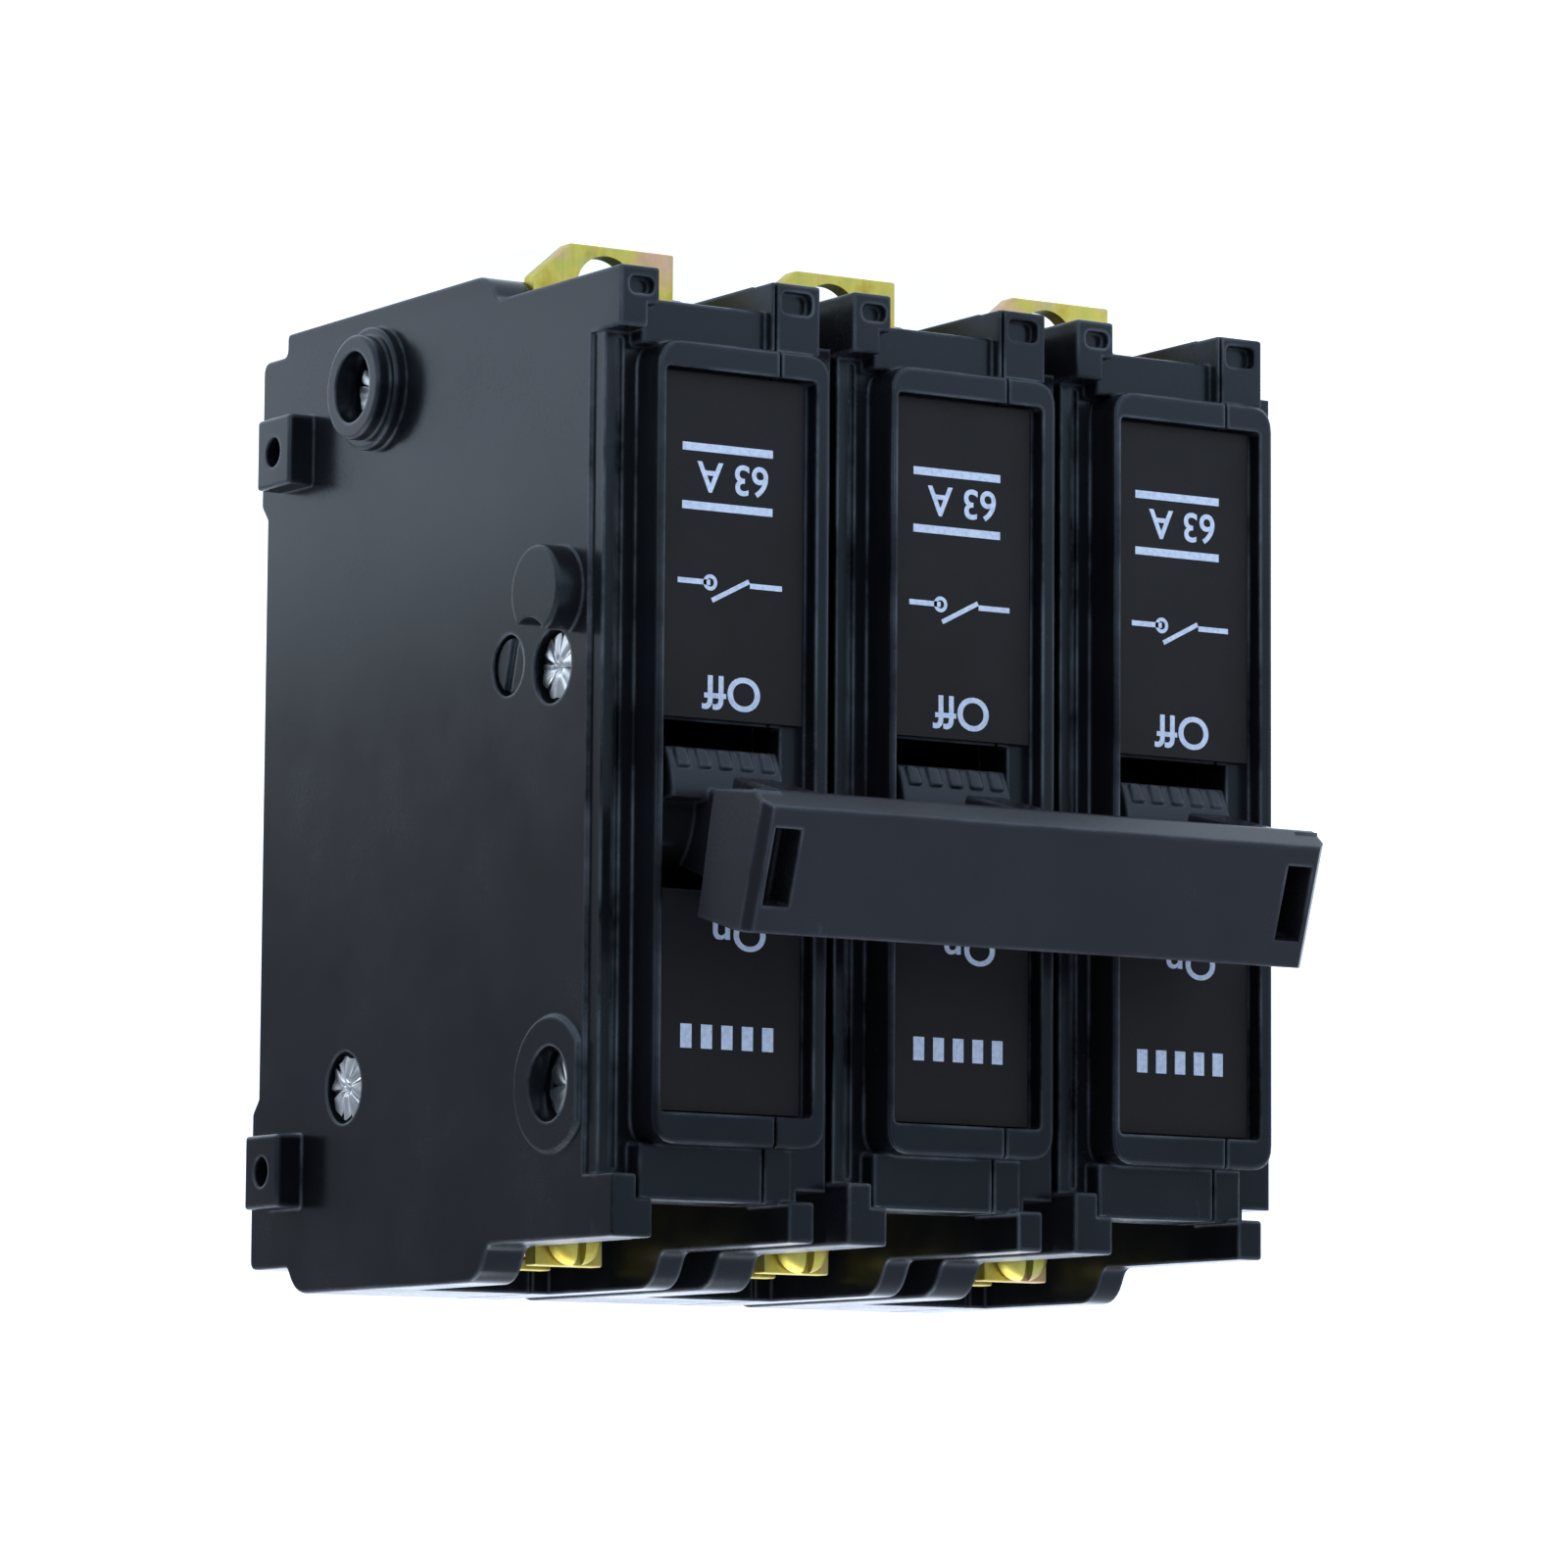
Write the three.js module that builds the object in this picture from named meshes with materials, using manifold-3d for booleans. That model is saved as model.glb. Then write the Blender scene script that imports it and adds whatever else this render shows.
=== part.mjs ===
// Three-pole molded case circuit breaker, one inch per pole. Millimetres, +Z up.
// The handles face -Y and the load end is at the top. The origin is the middle of the rear face.
// Poles A, B and C run from +X to -X and are alike. Each is a base half and a cover half.
// Positions below are measured from the plane of the rear feet, which stand behind that face.
import * as THREE from "three";
import { mergeVertices } from "three/addons/utils/BufferGeometryUtils.js";
import Module from "manifold-3d";

const wasm = await Module();
wasm.setup();

const REAR_RECESS = 1.2; // from the plane of the feet to the rear face between them

// Poles
const PITCH = 25.4;
const POLES = { A: PITCH, B: 0, C: -PITCH };
const FAR = 100; // reach of a cutting block that must clear the whole pole

// Molded case, across the pole (x)
const CASE_X = 12.55; // half width, which leaves 0.3 between poles
const PARTING_X = -4.3; // joint between base half and cover half
const PARTING_GAP = 0.3;
const INNER_X = 10.3; // inside face of the side walls
const THICK_WALL_X = -7.4; // inside face of the cover near its ends
const THICK_WALL_Z = [-30.5, 30]; // the cover's wall is thick beyond these
const CHANNEL_X = -9.2; // the cover is set back to here at both ends
const CHANNEL_Z = [-39.8, 39.2];

// Molded case, front to back (y) and end to end (z)
const END_BACK = 47.6; // ends of the rear section
const LINE_END = -44.9; // ends of the front section
const LOAD_END = 44.2;
const SHOULDER_Y = -65.9;
const EAR_Y = -69.2;
const WALL_TOP_Y = -68;
const NOSE_Y = -70.1;
const FLOOR_Y = -68.3; // sunk face that carries the two labels
const ROOT_Y = -65; // what stands on the shoulder is rooted here
const REAR_FOOT_Z = [-29.4, 28.2]; // the rear face lies between the feet
const FOOT_RAMP = 1.4;
const LINE_FOOT_END = -45.4;
const LOAD_FOOT_END = 45;
const FOOT_BACK = [-7.6, -4.9]; // where the feet rise to the ends, at the load and line end
const END_ROUND = 2.2;
const NOSE_X = [-9.9, 8.7];
const NOSE_Z = [-38.3, 35.7];
const NOSE_CORNER = 2.5;
const FLOOR_X = [-8.3, 8.1];
const FLOOR_Z = [-35.75, 32.8];
const LABEL_X = [-7.5, 7.8];
const LABEL_Y = [-69.1, -68.6];
const WINDOW_X = [-5.55, 7.16]; // handle opening
const WINDOW_Z = [-3.3, 12.2];
const WINDOW_BACK = -60;
const LABEL_GAP = 0.2; // from a label to its rims and to the handle opening

// Ears at the corners of the shoulder. Those of the base half, at +X, have two steps.
const EARS = [
  { x: [9.5, CASE_X], z: [LINE_END, -39.2] },
  { x: [8.3, CASE_X], z: [LINE_END, -41.4] },
  { x: [9.9, CASE_X], z: [38.4, LOAD_END] },
  { x: [8.2, CASE_X], z: [40.6, LOAD_END] },
  { x: [CHANNEL_X, -3.9], z: [LINE_END, -38.2] },
  { x: [CHANNEL_X, -6.1], z: [40.4, LOAD_END] },
];
const EAR_POCKETS = [
  { x: [8.9, 11.6], z: [-43.9, -42.3] },
  { x: [-8.3, -4.9], z: [-44.1, -42] },
];
const EAR_POCKET_DEPTH = 1.1;
const END_WALLS = [
  { x: [-4, 9.45], z: [-42.2, -38] },
  { x: [-7.5, 9], z: [35.5, 40.7] },
];
const GROOVE = { x: [10.3, 10.8], z: [-38.6, 37.8], depth: 0.5 }; // along the +X shoulder
const REBATE = { x: [CASE_X - 0.35, FAR], z: [-39.2, 38.4], depth: 2 }; // along the +X edge

// Rivets that hold the poles together, as [y, z]
const RIVET_A = [-23.4, -39.5];
const RIVET_B = [-57.5, -8.9];
const RIVET_C = [-58.3, 29.85];
const RIVET_D = [-18.65, 28];
const RIVETS = [RIVET_A, RIVET_B, RIVET_C, RIVET_D];
const RIVET_RADIUS = 2.1;
const RIVET_HOLE = 2.4;
const RIVET_HEAD = 3.15;
const RIVET_HEAD_THICK = 0.8;
const RIVET_BORE = 1.3;
const HEAD_HOLE = 3.5;
const HEAD_DEPTHS = [0.75, 1.6, 2.1, 1.3]; // seats of the four heads below the side face
const HEAD_GAP = 0.15;
const BORE_DEPTH = 3;
const POST_RADIUS = 3.7;

// Bosses on the +X side that nest in sockets of the next pole
const BOSS_PROUD = 2.8;
const SOCKET_X = -9.6;
const SOCKET_GAP = 0.5;
const COLLAR_RADIUS = 6;
const COLLAR_STEP = 1.3;
const COLLAR_TOP_RADIUS = 5.1;
const PEG_HOLE = 1.5;
const PEG_HOLE_DEPTH = 1;
const PEGS = [
  { y: [-10.8, -4.2], z: [-38.7, -31.7] },
  { y: [-10.5, -3.9], z: [32.1, 39.3] },
];
const STOP_BOSS = [-58.8, -15.6];
const STOP_RADIUS = 4.3;
const PAD_RADIUS = 6.3;
const PAD_PROUD = 0.5;
const PAD_FRONT = -63.4;

// Plug that seals the calibration screw, in the +X side, as [y, z]
const SEAL = [-49.4, -9.8];
const SEAL_HOLE = 2.9;
const SEAL_HOLE_DEPTH = 1.5;
const SEAL_RADIUS = 2.6;
const SEAL_SPAN = [CASE_X - 1.2, CASE_X - 0.35];
const SEAL_SLOT = { width: 1.3, depth: 0.5 };

// Handle and tie bar, about the pivot [y, z] and drawn pointing straight out along -y
const PIVOT = [-60.5, 4.2];
const HANDLE_TILT = 18; // degrees from straight out, on or off
const HANDLE_X = [-5.3, 6.9];
const CROWN_RADIUS = 9.3; // hood that closes the handle opening on the line side
const CROWN_ANGLES = [-52, -20]; // degrees, positive towards the load end
const CORE_RADIUS = 7;
const CORE_ANGLES = [-60, 60];
const WELL_RADIUS = 9.9;
const HUB_RADIUS = 4.2;
const AXLE_RADIUS = 1.8;
const LEVER_X = [-1.4, 3];
const LEVER_Z = [-6, 6];
const LEVER_END = -21.3;
const NECK_END = -12.2;
const NECK_Z = [-4, 4];
const ARM_FORK = { x: [-0.6, 2.2], y: [0, 10], z: [-1.5, 1.5] }; // pushes the contact arm inside
const TIE_X = [-30.3, 32.1];
const TIE_Y = [-24.5, -21.6];
const TIE_CHAMFER = 0.9; // between the bar's front and its two ends
const TIE_WALL = 2.6; // walls of the tie bar beside the outer levers
const TIE_WINDOW = { width: 2.8, edge: 1.4, z: [-3.9, 3.3], end: -19.5 };

// Switching parts inside each pole, as [y, z]
const ARM_PIVOT = [-46, -18];
const CRADLE_PIVOT = [-38, 22];
const TRIP_AXIS = [-13, -4.5];
const PIN_RADIUS = 1.5;
const PIN_GAP = 0.35;
const PIN_END_X = -3.9;
const ARM_X = [1.4, 6.4];
const CRADLE_X = [-3.6, -1.6];
const ARM_HUB_RADIUS = 3.2;
const CRADLE_HUB_RADIUS = 3;
const CONTACT = [3.9, -16.5]; // x, y
const CONTACT_RADIUS = 2.1;
const FIXED_CONTACT_Z = [-28, -26.55];
const MOVING_CONTACT_Z = [-26.2, -24.5];
const SPRING_ENDS = [
  [-0.1, -42.5, -13],
  [-0.1, -29, 10],
];
const SPRING_RADIUS = 0.95;
const SPRING_WIRE = 0.3;
const SPRING_TURNS = 6;
const SPRING_STEPS = 6; // in one turn
const BIMETAL = { x: [0, 5], y: [-8.2, -7.1], z: [-1, 40] };
const YOKE_Z = [8, 20];
const CHUTE = { x: [-3, 9], back: [-4.9, -3.9], plates: [-12, -4.5], z: [-26, -10] };
const CHUTE_PLATES = 6;
const CHUTE_PITCH = 3;
const CHUTE_PLATE = 1; // thickness
const TRIP_RADIUS = 1.8;
const TRIP_END_X = 34.5;
const FINGER_X = [1, 4]; // trip bar's finger behind each thermal strip

// Terminals
const TAB_X = [-7.5, 8];
const TAB_Z = [-51.4, -42.6];
const TAB_CORNER = [4, -47.9]; // ends of the cut corner, x and z
const TAB_Y = [-45.6, -43.6];
const TAB_HOLE = [0, -47.2];
const TAB_HOLE_RADIUS = 3.3;
const STRAP_X = [0.5, 7];
const STRAP_SLOT_Z = [-43, -39];
const BAY_X = [-3.9, 8.3]; // bay in front of the line tab
const BAY_FRONT = -47.3;
const BAY_Z = -42.2;
const TAB_CLEAR = { side: 0.4, front: 2.4, back: 0.3 };
const POCKET_X = [-6.4, 8.2]; // pocket for the load terminal
const POCKET_Y = [-62, -26];
const POCKET_Z = 36.4;
const POCKET_MOUTH_Y = -60;
const POCKET_MOUTH_Z = 40.7;
const LUG_SLOT = { x: [-0.6, 5.6], y: [-27, -23], z: [36.8, 39.2] };
const PLATE_X = [-2.2, 5.2];
const PLATE_END = 45.7;
const LUG_Y = [-43, -41];
const LUG_Z = 37.2;
const LUG_STRAP_X = [0, 5];
const LUG_STRAP = 1.6; // thickness
const LUG_TAIL = { y: [-10.6, -8.6], z: 33 };
const CLAMP_Y = [-33.5, -31.5];
const CLAMP_Z = 39.4;
const SCREW = [1.5, 43]; // x, z
const SCREW_END = -28;
const SCREW_HEAD_Y = -43.4;
const SCREW_SLOT = { width: 0.9, y: [-46, -44.5] };
const SCREW_RADIUS = 1.5;
const SCREW_HEAD_RADIUS = 2.7;
const PLATE_HOLE = 1.9;

const ROUND = 16; // sides of a round piece that is seen
const COARSE = 10; // sides of a round piece inside the case
const ARC_STEPS = 4;

const BLACK = 0x1c1d20;
const LABEL_BLACK = 0x121214;
const CHROMATE = 0xc2a63a;
const COPPER = 0xb87a4b;
const STEEL = 0x9a9c9f;

// A three.js geometry as a solid that can be cut and joined.
function solid(geometry) {
  const plain = geometry.index ? geometry.toNonIndexed() : geometry.clone();
  plain.deleteAttribute("normal");
  plain.deleteAttribute("uv");
  const merged = mergeVertices(plain, 1e-4);
  const vertProperties = merged.getAttribute("position").array;
  const triVerts = new Uint32Array(merged.index.array);
  return new wasm.Manifold(new wasm.Mesh({ numProp: 3, vertProperties, triVerts }));
}

// A closed outline. A corner's third number, if any, is how far along both sides it is rounded off.
function outline(corners) {
  const shape = new THREE.Shape();
  corners.forEach(([a, b, round = 0], i) => {
    const towards = (other) => new THREE.Vector2(other[0] - a, other[1] - b).setLength(round);
    const start = towards(corners.at(i - 1));
    const end = towards(corners[(i + 1) % corners.length]);
    const draw = i ? "lineTo" : "moveTo";
    shape[draw](a + start.x, b + start.y);
    if (round) shape.quadraticCurveTo(a, b, a + end.x, b + end.y);
  });
  return shape;
}

function extruded(shape, depth, u, v, w) {
  const options = { depth, bevelEnabled: false, curveSegments: ARC_STEPS };
  const axes = new THREE.Matrix4().makeBasis(
    new THREE.Vector3(...u),
    new THREE.Vector3(...v),
    new THREE.Vector3(...w),
  );
  return new THREE.ExtrudeGeometry(shape, options).applyMatrix4(axes);
}

// An outline in [y, z], between two values of x.
function slabX(shape, [x0, x1]) {
  return solid(extruded(shape, x1 - x0, [0, 1, 0], [0, 0, 1], [1, 0, 0]).translate(x0, 0, 0));
}

// An outline in [x, z], between two values of y.
function slabY(shape, [y0, y1]) {
  return solid(extruded(shape, y1 - y0, [1, 0, 0], [0, 0, 1], [0, -1, 0]).translate(0, y1, 0));
}

// An outline in [x, y], between two values of z.
function slabZ(shape, [z0, z1]) {
  return solid(extruded(shape, z1 - z0, [1, 0, 0], [0, 1, 0], [0, 0, 1]).translate(0, 0, z0));
}

function block([x0, x1], [y0, y1], [z0, z1]) {
  const box = new THREE.BoxGeometry(x1 - x0, y1 - y0, z1 - z0);
  return solid(box.translate((x0 + x1) / 2, (y0 + y1) / 2, (z0 + z1) / 2));
}

function rod(radius, [from, to], sides) {
  const bar = new THREE.CylinderGeometry(radius, radius, to - from, sides);
  return bar.translate(0, (from + to) / 2, 0);
}

function rodX([y, z], radius, span, sides = ROUND) {
  return solid(rod(radius, span, sides).rotateZ(-Math.PI / 2).translate(0, y, z));
}

function rodY([x, z], radius, span, sides = ROUND) {
  return solid(rod(radius, span, sides).translate(x, 0, z));
}

function rodZ([x, y], radius, span, sides = ROUND) {
  return solid(rod(radius, span, sides).rotateX(Math.PI / 2).translate(x, y, 0));
}

const joined = (bodies) => bodies.reduce((sum, body) => sum.add(body));
const cut = (body, tools) => tools.reduce((left, tool) => left.subtract(tool), body);
const grown = ([low, high], by) => [low - by, high + by];
const globalX = (span, pole) => span.map((x) => x + POLES[pole]);

function geometryOf(body) {
  const { vertProperties, triVerts } = body.getMesh();
  const geometry = new THREE.BufferGeometry();
  geometry.setAttribute("position", new THREE.BufferAttribute(vertProperties, 3));
  geometry.setIndex(new THREE.BufferAttribute(triVerts, 1));
  const faceted = geometry.toNonIndexed();
  faceted.computeVertexNormals();
  return faceted;
}

function piece(name, body, color, metalness = 0) {
  const roughness = metalness ? 0.35 : 0.5;
  const material = new THREE.MeshStandardMaterial({ color, metalness, roughness });
  const mesh = new THREE.Mesh(geometryOf(body), material);
  mesh.name = name;
  return mesh;
}

// The pole seen from its side: rear feet, stepped ends and the notched change to the front section.
function caseOutline() {
  return outline([
    [-REAR_RECESS, REAR_FOOT_Z[0]],
    [-REAR_RECESS, REAR_FOOT_Z[1]],
    [0, REAR_FOOT_Z[1] + FOOT_RAMP],
    [0, LOAD_FOOT_END, 1],
    [FOOT_BACK[0], LOAD_FOOT_END, 0.5],
    [FOOT_BACK[0] - 1.6, END_BACK, END_ROUND],
    [-44.9, END_BACK, END_ROUND],
    [-46.6, LOAD_END, 0.9],
    [SHOULDER_Y, LOAD_END],
    [SHOULDER_Y, LINE_END],
    [-46.6, LINE_END, 0.7],
    [-44.7, -END_BACK, END_ROUND],
    [FOOT_BACK[1], -END_BACK, 0.6],
    [FOOT_BACK[1], LINE_FOOT_END, 0.8],
    [0, LINE_FOOT_END, 1.3],
    [0, REAR_FOOT_Z[0] - FOOT_RAMP],
  ]);
}

function cavityOutline() {
  return outline([
    [-3.4, -43],
    [-3.4, 42.7],
    [-9.5, 42.7],
    [-12, 45.3],
    [-24, 45.3],
    [-24, 33],
    [-63.5, 33],
    [-63.5, -40],
    [-41.2, -40],
    [-41.2, -45.3],
    [-7, -45.3],
  ]);
}

function rectangle([a0, a1], [b0, b1], round) {
  return outline([
    [a0, b0, round],
    [a1, b0, round],
    [a1, b1, round],
    [a0, b1, round],
  ]);
}

// Ears at the corners of the front, the walls between them, and the nose that carries the labels.
function frontRelief() {
  return [
    ...EARS.map(({ x, z }) => block(x, [EAR_Y, ROOT_Y], z)),
    ...END_WALLS.map(({ x, z }) => block(x, [WALL_TOP_Y, ROOT_Y], z)),
    slabY(rectangle(NOSE_X, NOSE_Z, NOSE_CORNER), [NOSE_Y, ROOT_Y]),
  ];
}

// Everything that stands out from the +X side.
function sideRelief() {
  const top = CASE_X + BOSS_PROUD;
  const root = CASE_X - 1;
  const stop = rodX(STOP_BOSS, STOP_RADIUS, [root, top]);
  const besideRivet = rodX(RIVET_B, STOP_RADIUS, [root - 1, top + 1]);
  const pad = rodX(RIVET_C, PAD_RADIUS, [root, CASE_X + PAD_PROUD]);
  const padFront = block([0, FAR], [-FAR, PAD_FRONT], [-FAR, FAR]);
  return [
    rodX(RIVET_A, COLLAR_RADIUS, [root, CASE_X + COLLAR_STEP]),
    rodX(RIVET_A, COLLAR_TOP_RADIUS, [root, top]),
    stop.subtract(besideRivet),
    pad.subtract(padFront),
    ...PEGS.map((peg) => block([root, top], peg.y, peg.z)),
  ];
}

// Sockets in the -X side for the bosses of the next pole.
function sideSockets() {
  const depth = [-FAR, SOCKET_X];
  return [
    rodX(RIVET_A, COLLAR_RADIUS + SOCKET_GAP, [-FAR, CHANNEL_X]),
    rodX(STOP_BOSS, STOP_RADIUS + SOCKET_GAP, depth),
    rodX(RIVET_C, PAD_RADIUS + SOCKET_GAP, [-FAR, -CASE_X + PAD_PROUD]),
    ...PEGS.map((peg) => block(depth, grown(peg.y, SOCKET_GAP), grown(peg.z, SOCKET_GAP))),
  ];
}

function cavity() {
  const wide = slabX(cavityOutline(), [THICK_WALL_X, INNER_X]);
  const deep = slabX(cavityOutline(), [-INNER_X, THICK_WALL_X + 0.5]);
  const middle = block([-FAR, FAR], [-FAR, FAR], THICK_WALL_Z);
  const socketPad = rodX(STOP_BOSS, STOP_RADIUS + 2, [-FAR, SOCKET_X + 2]);
  return wide.add(deep.intersect(middle)).subtract(socketPad);
}

// Rivet posts from wall to wall, and the fixed pins of the base half.
function posts() {
  const pin = (place, radius) => rodX(place, radius, [PIN_END_X, INNER_X + 1], COARSE);
  const wallToWall = [-INNER_X - 0.5, INNER_X + 1];
  return [
    ...RIVETS.map((place) => rodX(place, POST_RADIUS, wallToWall, COARSE)),
    pin(PIVOT, AXLE_RADIUS),
    pin(ARM_PIVOT, PIN_RADIUS),
    pin(CRADLE_PIVOT, PIN_RADIUS),
  ];
}

function rivetHoles() {
  return RIVETS.flatMap((place, i) => {
    const seat = CASE_X - HEAD_DEPTHS[i];
    const through = rodX(place, RIVET_HOLE, [-FAR, FAR], COARSE);
    const near = rodX(place, HEAD_HOLE, [seat, FAR]);
    const far = rodX(place, HEAD_HOLE, [-FAR, -seat]);
    return i ? [through, near, far] : [through, near];
  });
}

// Handle opening, label floor, the fine groove and rebate along the +X shoulder, and the ears' pockets.
function frontCuts() {
  return [
    block(WINDOW_X, [-FAR, WINDOW_BACK], WINDOW_Z),
    block(FLOOR_X, [-FAR, FLOOR_Y], FLOOR_Z),
    rodX(PIVOT, WELL_RADIUS, WINDOW_X, 2 * ROUND),
    block(GROOVE.x, [SHOULDER_Y - 1, SHOULDER_Y + GROOVE.depth], GROOVE.z),
    block(REBATE.x, [-FAR, SHOULDER_Y + REBATE.depth], REBATE.z),
    ...EAR_POCKETS.map(({ x, z }) => block(x, [-FAR, EAR_Y + EAR_POCKET_DEPTH], z)),
  ];
}

// Bay for the line tab, pocket for the load terminal, and the slots their straps pass through.
function terminalCuts() {
  const tabSlot = [TAB_Y[0] - TAB_CLEAR.front, TAB_Y[1] + TAB_CLEAR.back];
  return [
    block(BAY_X, [-FAR, BAY_FRONT], [-FAR, BAY_Z]),
    block(grown(TAB_X, TAB_CLEAR.side), tabSlot, [-FAR, BAY_Z]),
    block(grown(STRAP_X, 0.3), grown(TAB_Y, 0.3), STRAP_SLOT_Z),
    block(POCKET_X, [-FAR, POCKET_MOUTH_Y], [POCKET_MOUTH_Z, FAR]),
    block(POCKET_X, POCKET_Y, [POCKET_Z, FAR]),
    block(LUG_SLOT.x, LUG_SLOT.y, LUG_SLOT.z),
  ];
}

function sideCuts() {
  return [
    rodX(SEAL, SEAL_HOLE, [CASE_X - SEAL_HOLE_DEPTH, FAR]),
    ...PEGS.map(({ y, z }) => {
      const middle = [(y[0] + y[1]) / 2, (z[0] + z[1]) / 2];
      return rodX(middle, PEG_HOLE, [CASE_X - PEG_HOLE_DEPTH, FAR], COARSE);
    }),
    block([-FAR, CHANNEL_X], [-FAR, FAR], [-FAR, CHANNEL_Z[0]]),
    block([-FAR, CHANNEL_X], [-FAR, FAR], [CHANNEL_Z[1], FAR]),
  ];
}

// Both halves of a pole's case before they are parted.
function wholeCase() {
  const body = slabX(caseOutline(), [-CASE_X, CASE_X]);
  const full = joined([body, ...frontRelief(), ...sideRelief()]);
  const opened = cut(full, [cavity(), ...frontCuts()]);
  const posted = joined([opened, ...posts()]);
  return cut(posted, [...terminalCuts(), ...sideCuts(), ...sideSockets(), ...rivetHoles()]);
}

// The trip bar passes through every wall between two poles.
function tripHole(span) {
  return rodX(TRIP_AXIS, TRIP_RADIUS + 0.5, span, COARSE);
}

function caseHalves(pole) {
  const whole = wholeCase();
  const all = [-FAR, FAR];
  const base = whole.intersect(block([PARTING_X + PARTING_GAP / 2, FAR], all, all));
  const cover = whole.intersect(block([-FAR, PARTING_X - PARTING_GAP / 2], all, all));
  return [
    piece(`base_${pole}`, pole === "A" ? base : base.subtract(tripHole([0, FAR])), BLACK),
    piece(`cover_${pole}`, pole === "C" ? cover : cover.subtract(tripHole([-FAR, 0])), BLACK),
  ];
}

function labels(pole) {
  const off = [FLOOR_Z[0] + LABEL_GAP, WINDOW_Z[0] - LABEL_GAP];
  const on = [WINDOW_Z[1] + LABEL_GAP, FLOOR_Z[1] - LABEL_GAP];
  return [
    piece(`label_off_${pole}`, block(LABEL_X, LABEL_Y, off), LABEL_BLACK),
    piece(`label_on_${pole}`, block(LABEL_X, LABEL_Y, on), LABEL_BLACK),
  ];
}

// A wedge about the pivot, between two angles from straight out.
function sector(radius, angles) {
  const [start, end] = angles.map((angle) => Math.PI - THREE.MathUtils.degToRad(angle));
  const shape = new THREE.Shape();
  shape.moveTo(0, 0);
  shape.lineTo(radius * Math.cos(start), radius * Math.sin(start));
  return shape.absarc(0, 0, radius, start, end, true);
}

// The handle is drawn pointing straight out, about its pivot, and then turned to on.
function handle(pole) {
  const lever = outline([
    [NECK_END, LEVER_Z[0]],
    [NECK_END, LEVER_Z[1]],
    [LEVER_END, LEVER_Z[1] + 0.2],
    [LEVER_END, LEVER_Z[0] - 0.7],
  ]);
  const body = joined([
    slabX(sector(CORE_RADIUS, CORE_ANGLES), HANDLE_X),
    slabX(sector(CROWN_RADIUS, CROWN_ANGLES), HANDLE_X),
    rodX([0, 0], HUB_RADIUS, HANDLE_X),
    block(LEVER_X, [NECK_END - 0.3, -HUB_RADIUS], NECK_Z),
    slabX(lever, LEVER_X),
    block(ARM_FORK.x, ARM_FORK.y, ARM_FORK.z),
  ]);
  const drilled = body.subtract(rodX([0, 0], AXLE_RADIUS + PIN_GAP, [-FAR, FAR], COARSE));
  return turnedOn(piece(`handle_${pole}`, drilled, BLACK));
}

function turnedOn(mesh) {
  mesh.rotation.x = THREE.MathUtils.degToRad(-HANDLE_TILT);
  mesh.position.set(0, ...PIVOT);
  return mesh;
}

// The wedge that leaves the chamfer at one end of the tie bar. Inward is 1 or -1 along x.
function tieChamfer(x, inward) {
  const front = TIE_Y[0];
  const beyond = 2;
  const wedge = outline([
    [x - inward * beyond, front + TIE_CHAMFER + beyond],
    [x + inward * (TIE_CHAMFER + beyond), front - beyond],
    [x - inward * beyond, front - beyond],
  ]);
  return slabZ(wedge, [-FAR, FAR]);
}

// Bar across the three levers. A wall at each end closes the outer lever in.
function handleTie() {
  const bar = outline([
    [TIE_Y[1], -6.9],
    [TIE_Y[1] - 0.5, -6.8],
    [TIE_Y[0], -5.85],
    [TIE_Y[0], 5.85],
    [TIE_Y[1], 6.2],
  ]);
  const wall = outline([
    [TIE_Y[1] - 1, -6.9],
    [TIE_Y[1] - 1, 6.1],
    [-16.2, 6.4],
    [-15.2, -5.4],
  ]);
  const { width, edge, z, end } = TIE_WINDOW;
  const windows = [
    [TIE_X[0] + edge, TIE_X[0] + edge + width],
    [TIE_X[1] - edge - width, TIE_X[1] - edge],
  ];
  const body = joined([
    slabX(bar, TIE_X),
    slabX(wall, [TIE_X[0], TIE_X[0] + TIE_WALL]),
    slabX(wall, [TIE_X[1] - TIE_WALL, TIE_X[1]]),
  ]);
  const holes = windows.map((span) => block(span, [-FAR, end], z));
  const chamfers = [tieChamfer(TIE_X[0], 1), tieChamfer(TIE_X[1], -1)];
  return turnedOn(piece("handle_tie", cut(body, [...holes, ...chamfers]), BLACK));
}

// Bolt-on tab that becomes the strap of the fixed contact.
function lineTab(pole) {
  const tab = outline([
    [TAB_X[0], TAB_Z[1]],
    [TAB_X[0], TAB_Z[0]],
    [TAB_CORNER[0], TAB_Z[0]],
    [TAB_X[1], TAB_CORNER[1]],
    [TAB_X[1], TAB_Z[1]],
  ]);
  const strap = outline([
    [TAB_Y[0], TAB_Z[1] - 0.4],
    [TAB_Y[1], TAB_Z[1] - 0.4],
    [TAB_Y[1], -29.75, 0.5],
    [-12.5, -29.75],
    [-12.5, -27.75],
    [TAB_Y[0], -27.75, 1.7],
  ]);
  const body = joined([
    slabY(tab, TAB_Y).subtract(rodY(TAB_HOLE, TAB_HOLE_RADIUS, [-FAR, 0])),
    slabX(strap, STRAP_X),
    rodZ(CONTACT, CONTACT_RADIUS, FIXED_CONTACT_Z, COARSE),
  ]);
  return piece(`line_tab_${pole}`, body, CHROMATE, 1);
}

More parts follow.
